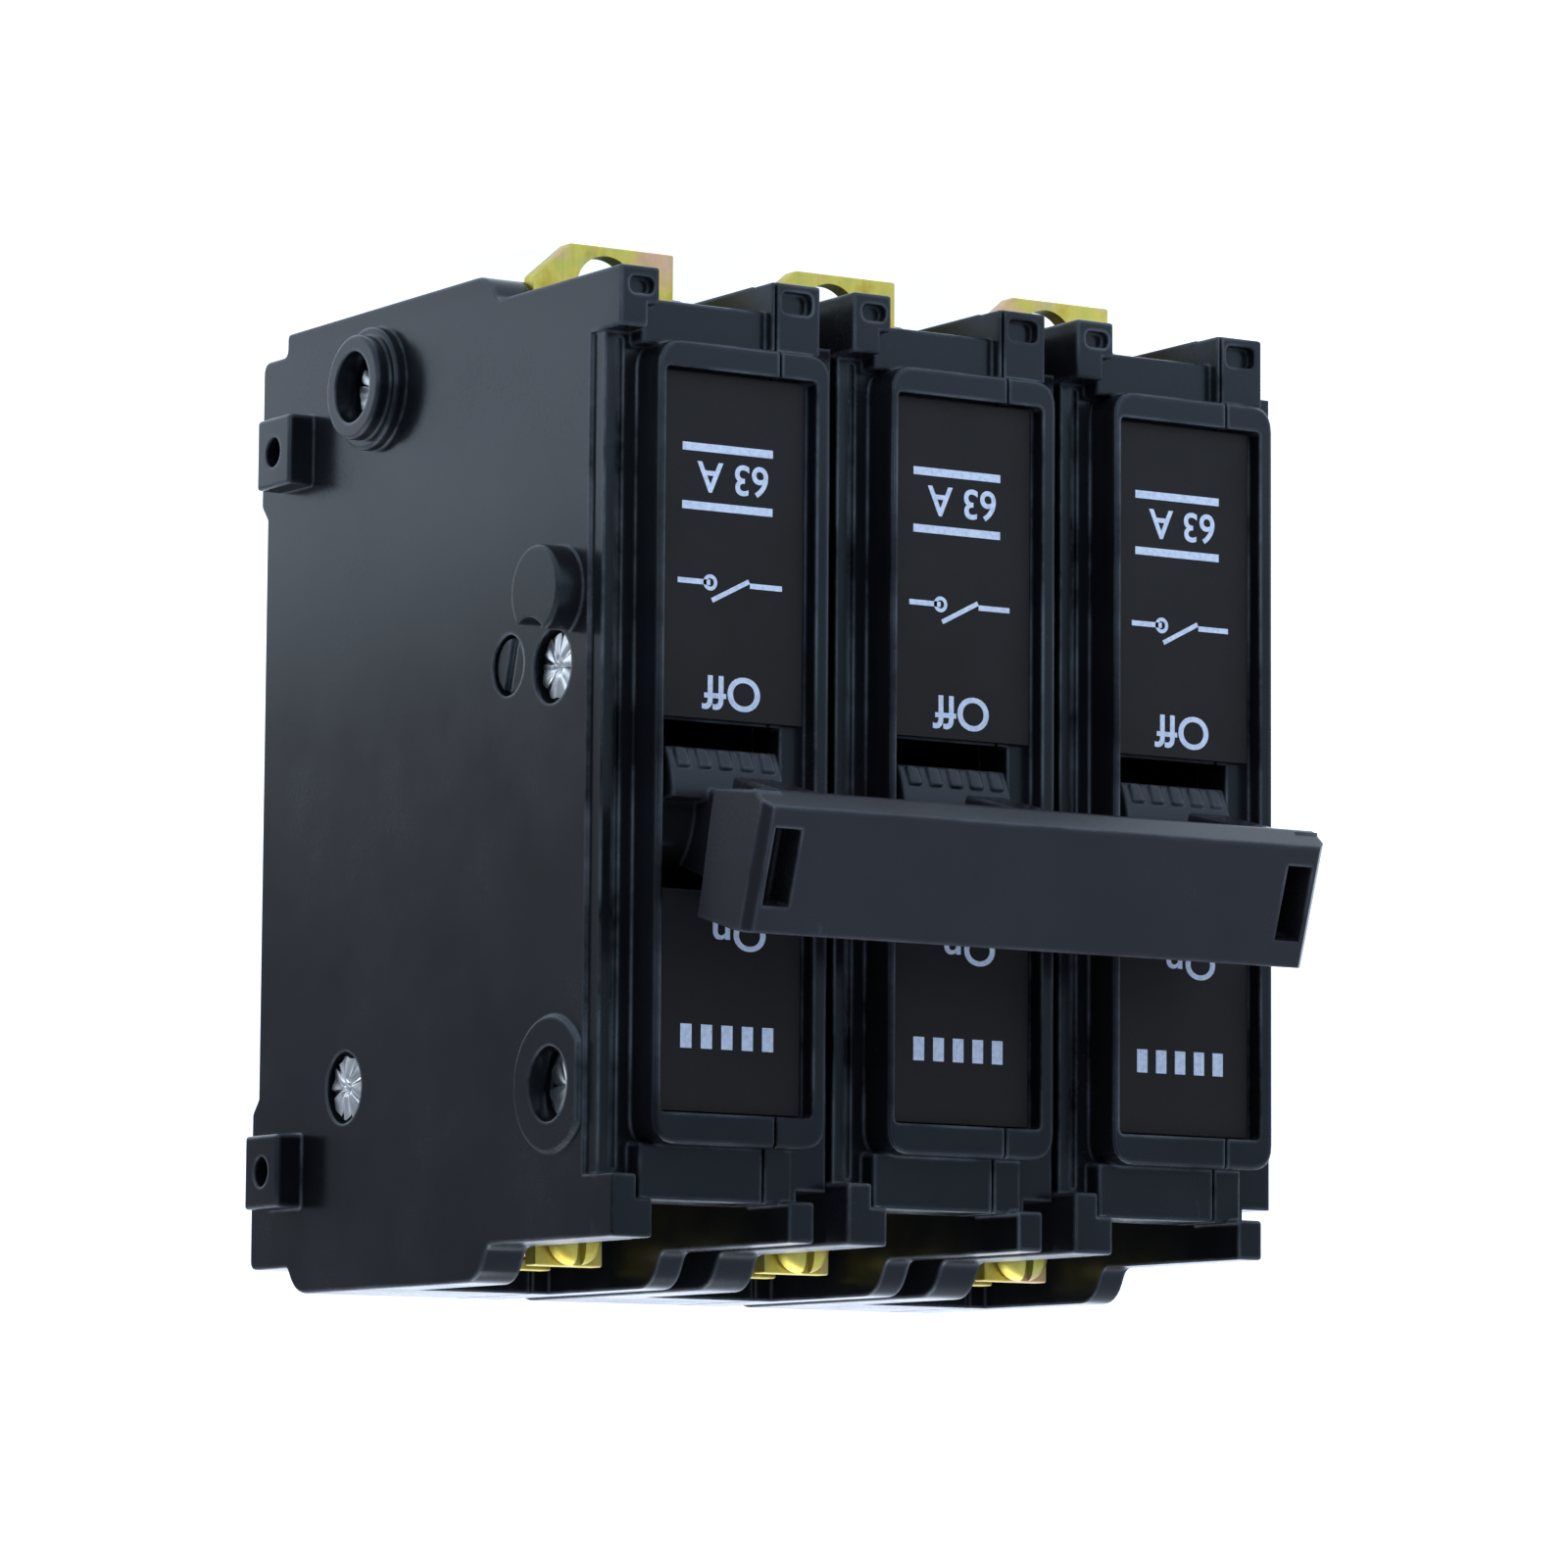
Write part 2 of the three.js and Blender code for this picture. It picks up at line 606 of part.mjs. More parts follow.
function contactArm(pole) {
  const bar = outline([
    [-45, -20.8],
    [-20, -25.2],
    [-13.6, -25.2],
    [-13.6, -23],
    [-19, -22.8],
    [-44, -15.4],
    [-45.8, -8],
    [-48.2, -8],
    [-48.6, -17],
  ]);
  const hub = rodX(ARM_PIVOT, ARM_HUB_RADIUS, ARM_X, COARSE);
  const contact = rodZ(CONTACT, CONTACT_RADIUS, MOVING_CONTACT_Z, COARSE);
  const body = joined([slabX(bar, ARM_X), hub, contact]);
  const hole = rodX(ARM_PIVOT, PIN_RADIUS + PIN_GAP, [-FAR, FAR], COARSE);
  return piece(`contact_arm_${pole}`, body.subtract(hole), COPPER, 1);
}

// Over-centre spring beside the arm.
function mainSpring(pole) {
  const [from, to] = SPRING_ENDS.map((end) => new THREE.Vector3(...end));
  const across = new THREE.Vector3(1, 0, 0);
  const third = to.clone().sub(from).normalize().cross(across);
  const steps = SPRING_TURNS * SPRING_STEPS;
  const points = [];
  for (let i = 0; i <= steps; i += 1) {
    const angle = (2 * Math.PI * i) / SPRING_STEPS;
    const point = from.clone().lerp(to, i / steps);
    point.addScaledVector(across, SPRING_RADIUS * Math.cos(angle));
    point.addScaledVector(third, SPRING_RADIUS * Math.sin(angle));
    points.push(point);
  }
  const wire = new THREE.Shape().absarc(0, 0, SPRING_WIRE, 0, 2 * Math.PI);
  const extrudePath = new THREE.CatmullRomCurve3(points);
  const coil = new THREE.ExtrudeGeometry(wire, { steps, extrudePath, curveSegments: 2 });
  return piece(`main_spring_${pole}`, solid(coil), STEEL, 1);
}

function cradle(pole) {
  const lever = outline([
    [-40.2, 20],
    [-36, 19],
    [-22, 3],
    [-19.2, -2.2],
    [-16.2, -2.2],
    [-17.5, 4],
    [-34, 23.5],
    [-38, 25],
  ]);
  const body = slabX(lever, CRADLE_X).add(rodX(CRADLE_PIVOT, CRADLE_HUB_RADIUS, CRADLE_X, COARSE));
  const hole = rodX(CRADLE_PIVOT, PIN_RADIUS + PIN_GAP, [-FAR, FAR], COARSE);
  return piece(`cradle_${pole}`, body.subtract(hole), STEEL, 1);
}

// Thermal strip, magnetic yoke round it, and the splitter plates by the contacts.
function tripAndArcParts(pole) {
  const yoke = outline([
    [-2.1, -13],
    [-0.6, -13],
    [-0.6, -6.1],
    [5.6, -6.1],
    [5.6, -13],
    [7.1, -13],
    [7.1, -4.6],
    [-2.1, -4.6],
  ]);
  const chute = [block(CHUTE.x, CHUTE.back, CHUTE.z)];
  for (let i = 0; i < CHUTE_PLATES; i += 1) {
    const z = CHUTE.z[0] + i * CHUTE_PITCH;
    chute.push(block(CHUTE.x, CHUTE.plates, [z, z + CHUTE_PLATE]));
  }
  return [
    piece(`bimetal_${pole}`, block(BIMETAL.x, BIMETAL.y, BIMETAL.z), STEEL, 1),
    piece(`magnet_yoke_${pole}`, slabZ(yoke, YOKE_Z), STEEL, 1),
    piece(`arc_chute_${pole}`, joined(chute), STEEL, 1),
  ];
}

// Lug with its strap to the thermal strip, the clamp that rises on the screw, and the screw.
function loadTerminal(pole) {
  const [x, z] = SCREW;
  const strapZ = [LUG_Z, LUG_Z + LUG_STRAP];
  const lug = joined([
    block(PLATE_X, LUG_Y, [LUG_Z, PLATE_END]),
    block(LUG_STRAP_X, [LUG_Y[0] + 1, LUG_TAIL.y[1] - 0.4], strapZ),
    block(LUG_STRAP_X, LUG_TAIL.y, [LUG_TAIL.z, strapZ[1]]),
  ]);
  const hole = rodY(SCREW, PLATE_HOLE, [-FAR, 0], COARSE);
  const clamp = block(PLATE_X, CLAMP_Y, [CLAMP_Z, PLATE_END]);
  const profile = [
    [0, SCREW_HEAD_Y - 2.1],
    [1.9, SCREW_HEAD_Y - 1.9],
    [SCREW_HEAD_RADIUS, SCREW_HEAD_Y - 1.2],
    [SCREW_HEAD_RADIUS, SCREW_HEAD_Y],
    [SCREW_RADIUS, SCREW_HEAD_Y],
    [SCREW_RADIUS, SCREW_END],
    [0, SCREW_END],
  ];
  const lathe = new THREE.LatheGeometry(profile.map(([r, y]) => new THREE.Vector2(r, y)), ROUND);
  const screw = solid(lathe.translate(x, 0, z));
  const half = SCREW_SLOT.width / 2;
  const slot = block([x - half, x + half], SCREW_SLOT.y, [z - FAR, z + FAR]);
  return [
    piece(`load_lug_${pole}`, lug.subtract(hole), CHROMATE, 1),
    piece(`wire_clamp_${pole}`, clamp.subtract(hole), CHROMATE, 1),
    piece(`load_screw_${pole}`, screw.subtract(slot), CHROMATE, 1),
  ];
}

function sealPlug(pole) {
  const half = SEAL_SLOT.width / 2;
  const slotX = [SEAL_SPAN[1] - SEAL_SLOT.depth, FAR];
  const slot = block(slotX, [SEAL[0] - half, SEAL[0] + half], [-FAR, FAR]);
  return piece(`seal_plug_${pole}`, rodX(SEAL, SEAL_RADIUS, SEAL_SPAN).subtract(slot), BLACK);
}

function poleOf(pole) {
  const group = new THREE.Group();
  group.position.x = POLES[pole];
  group.add(
    ...caseHalves(pole),
    ...labels(pole),
    handle(pole),
    lineTab(pole),
    contactArm(pole),
    mainSpring(pole),
    cradle(pole),
    ...tripAndArcParts(pole),
    ...loadTerminal(pole),
    sealPlug(pole),
  );
  return group;
}

// Tubular rivet through all three poles, closed over at both ends.
function rivet(place, index) {
  const seat = CASE_X - HEAD_DEPTHS[index];
  const outer = POLES.A + seat + HEAD_GAP;
  const inner = POLES.C + (index ? -seat : CHANNEL_X) - HEAD_GAP;
  const body = joined([
    rodX(place, RIVET_RADIUS, [inner, outer], COARSE),
    rodX(place, RIVET_HEAD, [outer, outer + RIVET_HEAD_THICK]),
    rodX(place, RIVET_HEAD, [inner - RIVET_HEAD_THICK, inner]),
  ]);
  const bores = [
    rodX(place, RIVET_BORE, [outer - BORE_DEPTH, FAR], COARSE),
    rodX(place, RIVET_BORE, [-FAR, inner + BORE_DEPTH], COARSE),
  ];
  return piece(`rivet_${index + 1}`, cut(body, bores), STEEL, 1);
}

// Common trip bar. Each pole has a bent finger behind its thermal strip and a latch for its cradle.
function tripBar() {
  const [y, z] = TRIP_AXIS;
  const fingers = Object.keys(POLES).flatMap((pole) => [
    block(globalX(FINGER_X, pole), [y, y + 4.4], [z - 1, z + 0.6]),
    block(globalX(FINGER_X, pole), [y + 3.3, y + 4.4], [z - 1, z + 6]),
    block(globalX(CRADLE_X, pole), [y - 4, y], [z + 0.3, z + 1.6]),
  ]);
  const bar = rodX(TRIP_AXIS, TRIP_RADIUS, [-TRIP_END_X, TRIP_END_X], COARSE);
  return piece("trip_bar", joined([bar, ...fingers]), STEEL, 1);
}

const parts = new THREE.Group();
parts.position.y = REAR_RECESS;
parts.add(
  ...Object.keys(POLES).map(poleOf),
  ...RIVETS.map(rivet),
  handleTie(),
  tripBar(),
);

const breaker = new THREE.Group();
breaker.add(parts);

export default breaker;
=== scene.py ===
# Three-pole molded case circuit breaker: the looks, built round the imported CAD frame. Metres, +Z up.
import math

import bmesh
import bpy
from mathutils import Matrix, Vector


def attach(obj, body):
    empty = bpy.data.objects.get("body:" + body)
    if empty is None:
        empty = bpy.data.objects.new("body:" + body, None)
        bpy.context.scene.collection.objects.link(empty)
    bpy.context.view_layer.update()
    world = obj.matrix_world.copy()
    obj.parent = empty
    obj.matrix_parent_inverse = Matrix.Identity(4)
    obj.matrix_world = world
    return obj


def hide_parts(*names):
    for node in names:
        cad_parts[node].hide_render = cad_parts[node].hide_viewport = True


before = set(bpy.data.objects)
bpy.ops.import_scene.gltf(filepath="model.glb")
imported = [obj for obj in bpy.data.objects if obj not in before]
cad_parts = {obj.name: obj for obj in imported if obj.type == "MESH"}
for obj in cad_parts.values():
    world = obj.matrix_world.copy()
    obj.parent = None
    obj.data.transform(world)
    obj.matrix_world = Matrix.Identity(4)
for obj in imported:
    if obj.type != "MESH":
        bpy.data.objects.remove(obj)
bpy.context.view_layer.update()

MM = 0.001
FAR = 100.0  # reach of a cutting tool that must clear the whole pole
REAR = 1.2  # mm from the plane of the feet to the origin's plane
POLES = {"A": 25.4, "B": 0.0, "C": -25.4}

# Case, in mm from the middle of a pole and the plane of its feet
CASE_X = 12.55
PARTING_X = -4.3
PARTING_GAP = 0.3
INNER_X = 10.3
THICK_WALL_X = -7.4
THICK_WALL_Z = (-30.5, 30.0)
CHANNEL_X = -9.2
CHANNEL_Z = (-39.8, 39.2)
END_BACK = 47.6
LINE_END = -44.9
LOAD_END = 44.2
SHOULDER_Y = -65.9
EAR_Y = -69.2
WALL_TOP_Y = -68.0
NOSE_Y = -70.1
FLOOR_Y = -68.3
ROOT_Y = -65.0
NOSE_X = (-9.9, 8.7)
NOSE_Z = (-38.3, 35.7)
NOSE_CORNER = 2.5
FLOOR_X = (-8.3, 8.1)
FLOOR_Z = (-35.75, 32.8)
LABEL_X = (-7.5, 7.8)
LABEL_Y = (-69.1, -68.6)
WINDOW_X = (-5.55, 7.16)
WINDOW_Z = (-3.3, 12.2)
LABEL_GAP = 0.2
WINDOW_BACK = -60.0
EARS = [
    ((9.5, CASE_X), (LINE_END, -39.2)),
    ((8.3, CASE_X), (LINE_END, -41.4)),
    ((9.9, CASE_X), (38.4, LOAD_END)),
    ((8.2, CASE_X), (40.6, LOAD_END)),
    ((CHANNEL_X, -3.9), (LINE_END, -38.2)),
    ((CHANNEL_X, -6.1), (40.4, LOAD_END)),
]
EAR_POCKETS = [((8.9, 11.6), (-43.9, -42.3)), ((-8.3, -4.9), (-44.1, -42.0))]
EAR_POCKET_DEPTH = 1.1
EAR_POCKET_CORNER = 0.75
FLOOR_CORNER = 0.5
GROOVE_X = (10.3, 10.8)
GROOVE_Z = (-38.6, 37.8)
GROOVE_DEPTH = 0.5
REBATE_WIDTH = 0.35
REBATE_DEPTH = 2.0
REBATE_Z = (-39.2, 38.4)
END_WALLS = [((-4.0, 9.45), (-42.2, -38.0)), ((-7.5, 9.0), (35.5, 40.7))]
RIVETS = [(-23.4, -39.5), (-57.5, -8.9), (-58.3, 29.85), (-18.65, 28.0)]
RIVET_HOLE = 2.4
HEAD_HOLE = 3.5
HEAD_DEPTHS = [0.75, 1.6, 2.1, 1.3]
POST_RADIUS = 3.7
BOSS_PROUD = 2.8
SOCKET_X = -9.6
SOCKET_GAP = 0.5
COLLAR_RADIUS = 6.0
COLLAR_STEP = 1.3
COLLAR_TOP_RADIUS = 5.1
PEG_HOLE = 1.5
PEG_HOLE_DEPTH = 1.0
PEGS = [((-10.8, -4.2), (-38.7, -31.7)), ((-10.5, -3.9), (32.1, 39.3))]
STOP_BOSS = (-58.8, -15.6)
STOP_RADIUS = 4.3
STOP_WALL = 2.0
STOP_WALL_X = -7.6
PAD_RADIUS = 6.3
PAD_PROUD = 0.5
PAD_FRONT = -63.4
PIVOT = (-60.5, 4.2)
WELL_RADIUS = 9.9
AXLE_RADIUS = 1.8
PIN_RADIUS = 1.5
PIN_END_X = -3.9
ARM_PIVOT = (-46.0, -18.0)
CRADLE_PIVOT = (-38.0, 22.0)
TRIP_AXIS = (-13.0, -4.5)
TRIP_RADIUS = 1.8
TAB_X = (-7.5, 8.0)
TAB_Y = (-45.6, -43.6)
TAB_BAY_X = (-3.9, 8.3)
TAB_BAY_BACK = -47.3
TAB_BAY_END = -42.2
TAB_ROOM = 0.4
TAB_ROOM_FRONT = 2.4
STRAP_GAP = 0.3
STRAP_SLOT_X = (0.2, 7.3)
STRAP_SLOT_Z = (-43, -39)
POCKET_X = (-6.4, 8.2)
POCKET_Y = (-62, -26)
POCKET_FLOOR = 36.4
POCKET_MOUTH_BACK = -60
POCKET_MOUTH_FLOOR = 40.7
LUG_SLOT_X = (-0.6, 5.6)
LUG_SLOT_Y = (-27, -23)
LUG_SLOT_Z = (36.8, 39.2)
SEAL = (-49.4, -9.8)
SEAL_HOLE = 2.9
SEAL_HOLE_DEPTH = 1.5
SIDES = 64


# ---------------------------------------------------------------- solids
def new_object(name, bm):
    bmesh.ops.recalc_face_normals(bm, faces=bm.faces)
    mesh = bpy.data.meshes.new(name)
    bm.to_mesh(mesh)
    bm.free()
    made = bpy.data.objects.new(name, mesh)
    bpy.context.scene.collection.objects.link(made)
    return made


def prism(points, span, place, bevel=0.0, segments=3):
    """Extrudes an outline; place turns (a, b, along) into (x, y, z). Bevel rounds the two end rims."""
    bm = bmesh.new()
    low = [bm.verts.new(place(a, b, span[0])) for a, b in points]
    high = [bm.verts.new(place(a, b, span[1])) for a, b in points]
    bm.faces.new(low)
    bm.faces.new(list(reversed(high)))
    count = len(points)
    for i in range(count):
        j = (i + 1) % count
        bm.faces.new((low[j], low[i], high[i], high[j]))
    bmesh.ops.recalc_face_normals(bm, faces=bm.faces)
    if bevel:
        sharp = [e for e in bm.edges if e.calc_face_angle(0.0) > math.radians(30)]
        bmesh.ops.bevel(bm, geom=sharp, offset=bevel, segments=segments, profile=0.5, affect="EDGES")
    return bm


def along_x(a, b, c):
    return (c, a, b)


def along_y(a, b, c):
    return (a, c, b)


def along_z(a, b, c):
    return (a, b, c)


def slab_x(points, span, **rounding):
    return prism(points, span, along_x, **rounding)


def slab_y(points, span, **rounding):
    return prism(points, span, along_y, **rounding)


def slab_z(points, span, **rounding):
    return prism(points, span, along_z, **rounding)


def block(xs, ys, zs, **rounding):
    return slab_x([(ys[0], zs[0]), (ys[1], zs[0]), (ys[1], zs[1]), (ys[0], zs[1])], xs, **rounding)


def circle(centre, radius, sides=SIDES):
    steps = [2 * math.pi * (i + 0.5) / sides for i in range(sides)]
    return [(centre[0] + radius * math.cos(t), centre[1] + radius * math.sin(t)) for t in steps]


def rod_x(centre, radius, span, sides=SIDES, **rounding):
    return slab_x(circle(centre, radius, sides), span, **rounding)


def rod_y(centre, radius, span, sides=SIDES, **rounding):
    return slab_y(circle(centre, radius, sides), span, **rounding)


def outline(corners, steps=6):
    """The points of a closed outline. A corner's third number is how far it is rounded off."""
    points = []
    for i, corner in enumerate(corners):
        here = Vector(corner[:2])
        if len(corner) == 2:
            points.append(tuple(here))
            continue
        before = (Vector(corners[i - 1][:2]) - here).normalized() * corner[2]
        after = (Vector(corners[(i + 1) % len(corners)][:2]) - here).normalized() * corner[2]
        for k in range(steps + 1):
            t = k / steps
            points.append(tuple(here + before * (1 - t) ** 2 + after * t * t))
    return points


def rectangle(xs, zs, radius, steps=6):
    corners = [(xs[0], zs[0]), (xs[1], zs[0]), (xs[1], zs[1]), (xs[0], zs[1])]
    return outline([(x, z, radius) for x, z in corners], steps)


def boolean(target, tools, operation):
    """Joins tools to the target, or cuts them from it. The tools are bmeshes and are used up."""
    for tool in tools:
        helper = new_object("tool", tool) if isinstance(tool, bmesh.types.BMesh) else tool
        modifier = target.modifiers.new("boolean", "BOOLEAN")
        modifier.solver = "EXACT"
        modifier.operation = operation
        modifier.object = helper
        graph = bpy.context.evaluated_depsgraph_get()
        result = bpy.data.meshes.new_from_object(target.evaluated_get(graph), depsgraph=graph)
        target.modifiers.clear()
        old, target.data = target.data, result
        bpy.data.meshes.remove(old)
        bpy.data.objects.remove(helper)
    return target


def join(target, tools):
    return boolean(target, tools, "UNION")


def cut(target, tools):
    return boolean(target, tools, "DIFFERENCE")


def copy_of(source, name):
    made = source.copy()
    made.data = source.data.copy()
    made.name = name
    bpy.context.scene.collection.objects.link(made)
    return made


# ---------------------------------------------------------------- case
CASE_OUTLINE = [
    (-REAR, -29.4), (-REAR, 28.2), (0, 29.6), (0, 45, 1), (-7.6, 45, 0.5), (-9.2, END_BACK, 2.2),
    (-44.9, END_BACK, 2.2), (-46.6, LOAD_END, 0.9), (SHOULDER_Y, LOAD_END), (SHOULDER_Y, LINE_END),
    (-46.6, LINE_END, 0.7), (-44.7, -END_BACK, 2.2), (-4.9, -END_BACK, 0.6), (-4.9, -45.4, 0.8),
    (0, -45.4, 1.3), (0, -30.8),
]
CAVITY_OUTLINE = [
    (-3.4, -43), (-3.4, 42.7), (-9.5, 42.7), (-12, 45.3), (-24, 45.3), (-24, 33),
    (-63.5, 33), (-63.5, -40), (-41.2, -40), (-41.2, -45.3), (-7, -45.3),
]


def front_relief():
    edge = {"bevel": 0.3, "segments": 2}
    return [block(xs, (EAR_Y, ROOT_Y), zs, **edge) for xs, zs in EARS] + [
        block(xs, (WALL_TOP_Y, ROOT_Y), zs, **edge) for xs, zs in END_WALLS
    ] + [slab_y(rectangle(NOSE_X, NOSE_Z, NOSE_CORNER), (NOSE_Y, ROOT_Y), bevel=0.5, segments=3)]


def side_relief():
    top = CASE_X + BOSS_PROUD
    root = CASE_X - 1.0
    edge = {"bevel": 0.35, "segments": 3}
    stop = new_object("stop", rod_x(STOP_BOSS, STOP_RADIUS, (root, top), **edge))
    cut(stop, [rod_x(RIVETS[1], STOP_RADIUS, (root - 1, top + 1))])
    pad_span = (root, CASE_X + PAD_PROUD)
    pad = new_object("pad", rod_x(RIVETS[2], PAD_RADIUS, pad_span, bevel=0.2, segments=2))
    cut(pad, [block((0, FAR), (-FAR, PAD_FRONT), (-FAR, FAR))])
    return [
        rod_x(RIVETS[0], COLLAR_RADIUS, (root, CASE_X + COLLAR_STEP), **edge),
        rod_x(RIVETS[0], COLLAR_TOP_RADIUS, (root, top), **edge),
        stop,
        pad,
    ] + [block((root, top), ys, zs, **edge) for ys, zs in PEGS]


def grown(span, by):
    return (span[0] - by, span[1] + by)


def side_sockets():
    depth = (-FAR, SOCKET_X)
    return [
        rod_x(RIVETS[0], COLLAR_RADIUS + SOCKET_GAP, (-FAR, CHANNEL_X)),
        rod_x(STOP_BOSS, STOP_RADIUS + SOCKET_GAP, depth),
        rod_x(RIVETS[2], PAD_RADIUS + SOCKET_GAP, (-FAR, -CASE_X + PAD_PROUD)),
    ] + [block(depth, grown(ys, SOCKET_GAP), grown(zs, SOCKET_GAP)) for ys, zs in PEGS]


def cavity():
    whole = new_object("cavity", slab_x(CAVITY_OUTLINE, (THICK_WALL_X, INNER_X)))
    deep = new_object("deep", slab_x(CAVITY_OUTLINE, (-INNER_X, THICK_WALL_X + 0.5)))
    boolean(deep, [block((-FAR, FAR), (-FAR, FAR), THICK_WALL_Z)], "INTERSECT")
    join(whole, [deep])
    return cut(whole, [rod_x(STOP_BOSS, STOP_RADIUS + STOP_WALL, (-FAR, STOP_WALL_X))])


def posts():
    wall_to_wall = (-INNER_X - 0.5, INNER_X + 1)
    pin_span = (PIN_END_X, INNER_X + 1)
    pins = [(PIVOT, AXLE_RADIUS), (ARM_PIVOT, PIN_RADIUS), (CRADLE_PIVOT, PIN_RADIUS)]
    return [rod_x(place, POST_RADIUS, wall_to_wall, 32) for place in RIVETS] + [
        rod_x(place, radius, pin_span, 24) for place, radius in pins
    ]


def rivet_holes():
    holes = []
    for index, place in enumerate(RIVETS):
        seat = CASE_X - HEAD_DEPTHS[index]
        holes += [rod_x(place, RIVET_HOLE, (-FAR, FAR), 48), rod_x(place, HEAD_HOLE, (seat, FAR))]
        if index:
            holes.append(rod_x(place, HEAD_HOLE, (-FAR, -seat)))
    return holes


def front_cuts():
    pocket_back = EAR_Y + EAR_POCKET_DEPTH
    return [
        block(WINDOW_X, (-FAR, WINDOW_BACK), WINDOW_Z),
        slab_y(rectangle(FLOOR_X, FLOOR_Z, FLOOR_CORNER, 3), (-FAR, FLOOR_Y)),
        rod_x(PIVOT, WELL_RADIUS, WINDOW_X, 96),
        block(GROOVE_X, (SHOULDER_Y - 1, SHOULDER_Y + GROOVE_DEPTH), GROOVE_Z),
        block((CASE_X - REBATE_WIDTH, FAR), (-FAR, SHOULDER_Y + REBATE_DEPTH), REBATE_Z),
    ] + [
        slab_y(rectangle(xs, zs, EAR_POCKET_CORNER, 4), (-FAR, pocket_back))
        for xs, zs in EAR_POCKETS
    ]


def terminal_cuts():
    return [
        block(TAB_BAY_X, (-FAR, TAB_BAY_BACK), (-FAR, TAB_BAY_END)),
        block(grown(TAB_X, TAB_ROOM), (TAB_Y[0] - TAB_ROOM_FRONT, TAB_Y[1] + STRAP_GAP), (-FAR, TAB_BAY_END)),
        block(STRAP_SLOT_X, grown(TAB_Y, STRAP_GAP), STRAP_SLOT_Z),
        block(POCKET_X, (-FAR, POCKET_MOUTH_BACK), (POCKET_MOUTH_FLOOR, FAR)),
        block(POCKET_X, POCKET_Y, (POCKET_FLOOR, FAR)),
        block(LUG_SLOT_X, LUG_SLOT_Y, LUG_SLOT_Z),
    ]


def side_cuts():
    centres = [((ys[0] + ys[1]) / 2, (zs[0] + zs[1]) / 2) for ys, zs in PEGS]
    peg_holes = [rod_x(centre, PEG_HOLE, (CASE_X - PEG_HOLE_DEPTH, FAR), 40) for centre in centres]
    return [
        rod_x(SEAL, SEAL_HOLE, (CASE_X - SEAL_HOLE_DEPTH, FAR)),
        block((-FAR, CHANNEL_X), (-FAR, FAR), (-FAR, CHANNEL_Z[0])),
        block((-FAR, CHANNEL_X), (-FAR, FAR), (CHANNEL_Z[1], FAR)),
    ] + peg_holes


def whole_case():
    case = new_object("case", slab_x(outline(CASE_OUTLINE), (-CASE_X, CASE_X), bevel=0.3, segments=2))
    join(case, front_relief() + side_relief())
    cut(case, [cavity()] + front_cuts())
    join(case, posts())
    cut(case, terminal_cuts() + side_cuts() + side_sockets() + rivet_holes())
    return case


def case_halves():
    """The base half and the cover half of one pole, which the poles share."""
    base = whole_case()
    cover = copy_of(base, "cover")
    everywhere = (-FAR, FAR)
    base_side = block((PARTING_X + PARTING_GAP / 2, FAR), everywhere, everywhere)
    cover_side = block((-FAR, PARTING_X - PARTING_GAP / 2), everywhere, everywhere)
    boolean(base, [base_side], "INTERSECT")
    boolean(cover, [cover_side], "INTERSECT")
    return base, cover


# ---------------------------------------------------------------- handle and tie bar
HANDLE_TILT = 18
HANDLE_X = (-5.3, 6.9)
CROWN_RADIUS = 9.3
CROWN_ANGLES = (-52, -20)
CORE_RADIUS = 7.0
CORE_ANGLES = (-60, 60)
HUB_RADIUS = 4.2
AXLE_BORE = 2.15
LEVER_ROOT_Y = (-12.5, -HUB_RADIUS)
LEVER_ROOT_Z = (-4.0, 4.0)
TAIL_X = (-0.6, 2.2)
TAIL_Y = (0, 10)
TAIL_Z = (-1.5, 1.5)
LEVER_X = (-1.4, 3.0)
LEVER_OUTLINE = [(-12.2, -6.0), (-12.2, 6.0), (-21.3, 6.2), (-21.3, -6.7)]
TIE_X = (-30.3, 32.1)
TIE_CHAMFER = 0.9
TIE_OUTLINE = [(-21.6, -6.9), (-22.1, -6.8), (-24.5, -5.85), (-24.5, 5.85), (-21.6, 6.2)]
TIE_WALL = 2.6
TIE_WALL_OUTLINE = [(-22.6, -6.9), (-22.6, 6.1), (-16.2, 6.4), (-15.2, -5.4)]
TIE_WINDOW_Z = (-3.9, 3.3)
TIE_WINDOW_END = -19.5
TIE_WINDOW_NEAR = 1.4
TIE_WINDOW_FAR = 4.2
TIE_WINDOWS = [
    (TIE_X[0] + TIE_WINDOW_NEAR, TIE_X[0] + TIE_WINDOW_FAR),
    (TIE_X[1] - TIE_WINDOW_FAR, TIE_X[1] - TIE_WINDOW_NEAR),
]
TEETH = 5
TOOTH_PITCH = 2.3
TOOTH_FIRST = 1.5
TOOTH_HALF = 0.75
TOOTH_PROUD = 0.35
TOOTH_ROOT = 0.8
TOOTH_ANGLES = (-50, -37)
TOOTH_ROOT_ANGLES = (-48, -39)


def sector(radius, angles, steps=8):
    """An arc about the pivot, between two angles from straight out."""
    start, stop = (math.pi - math.radians(angle) for angle in angles)
    turns = [start + (stop - start) * i / steps for i in range(steps + 1)]
    return [(radius * math.cos(t), radius * math.sin(t)) for t in turns]


def crown_teeth():
    """Blunt teeth along the crown's free edge."""
    teeth = []
    for i in range(TEETH):
        x = HANDLE_X[0] + TOOTH_FIRST + i * TOOTH_PITCH
        outer = sector(CROWN_RADIUS + TOOTH_PROUD, TOOTH_ANGLES, 4)
        inner = sector(CROWN_RADIUS - TOOTH_ROOT, TOOTH_ROOT_ANGLES, 4)
        teeth.append(slab_x(outer + inner[::-1], (x - TOOTH_HALF, x + TOOTH_HALF), bevel=0.28, segments=3))
    return teeth


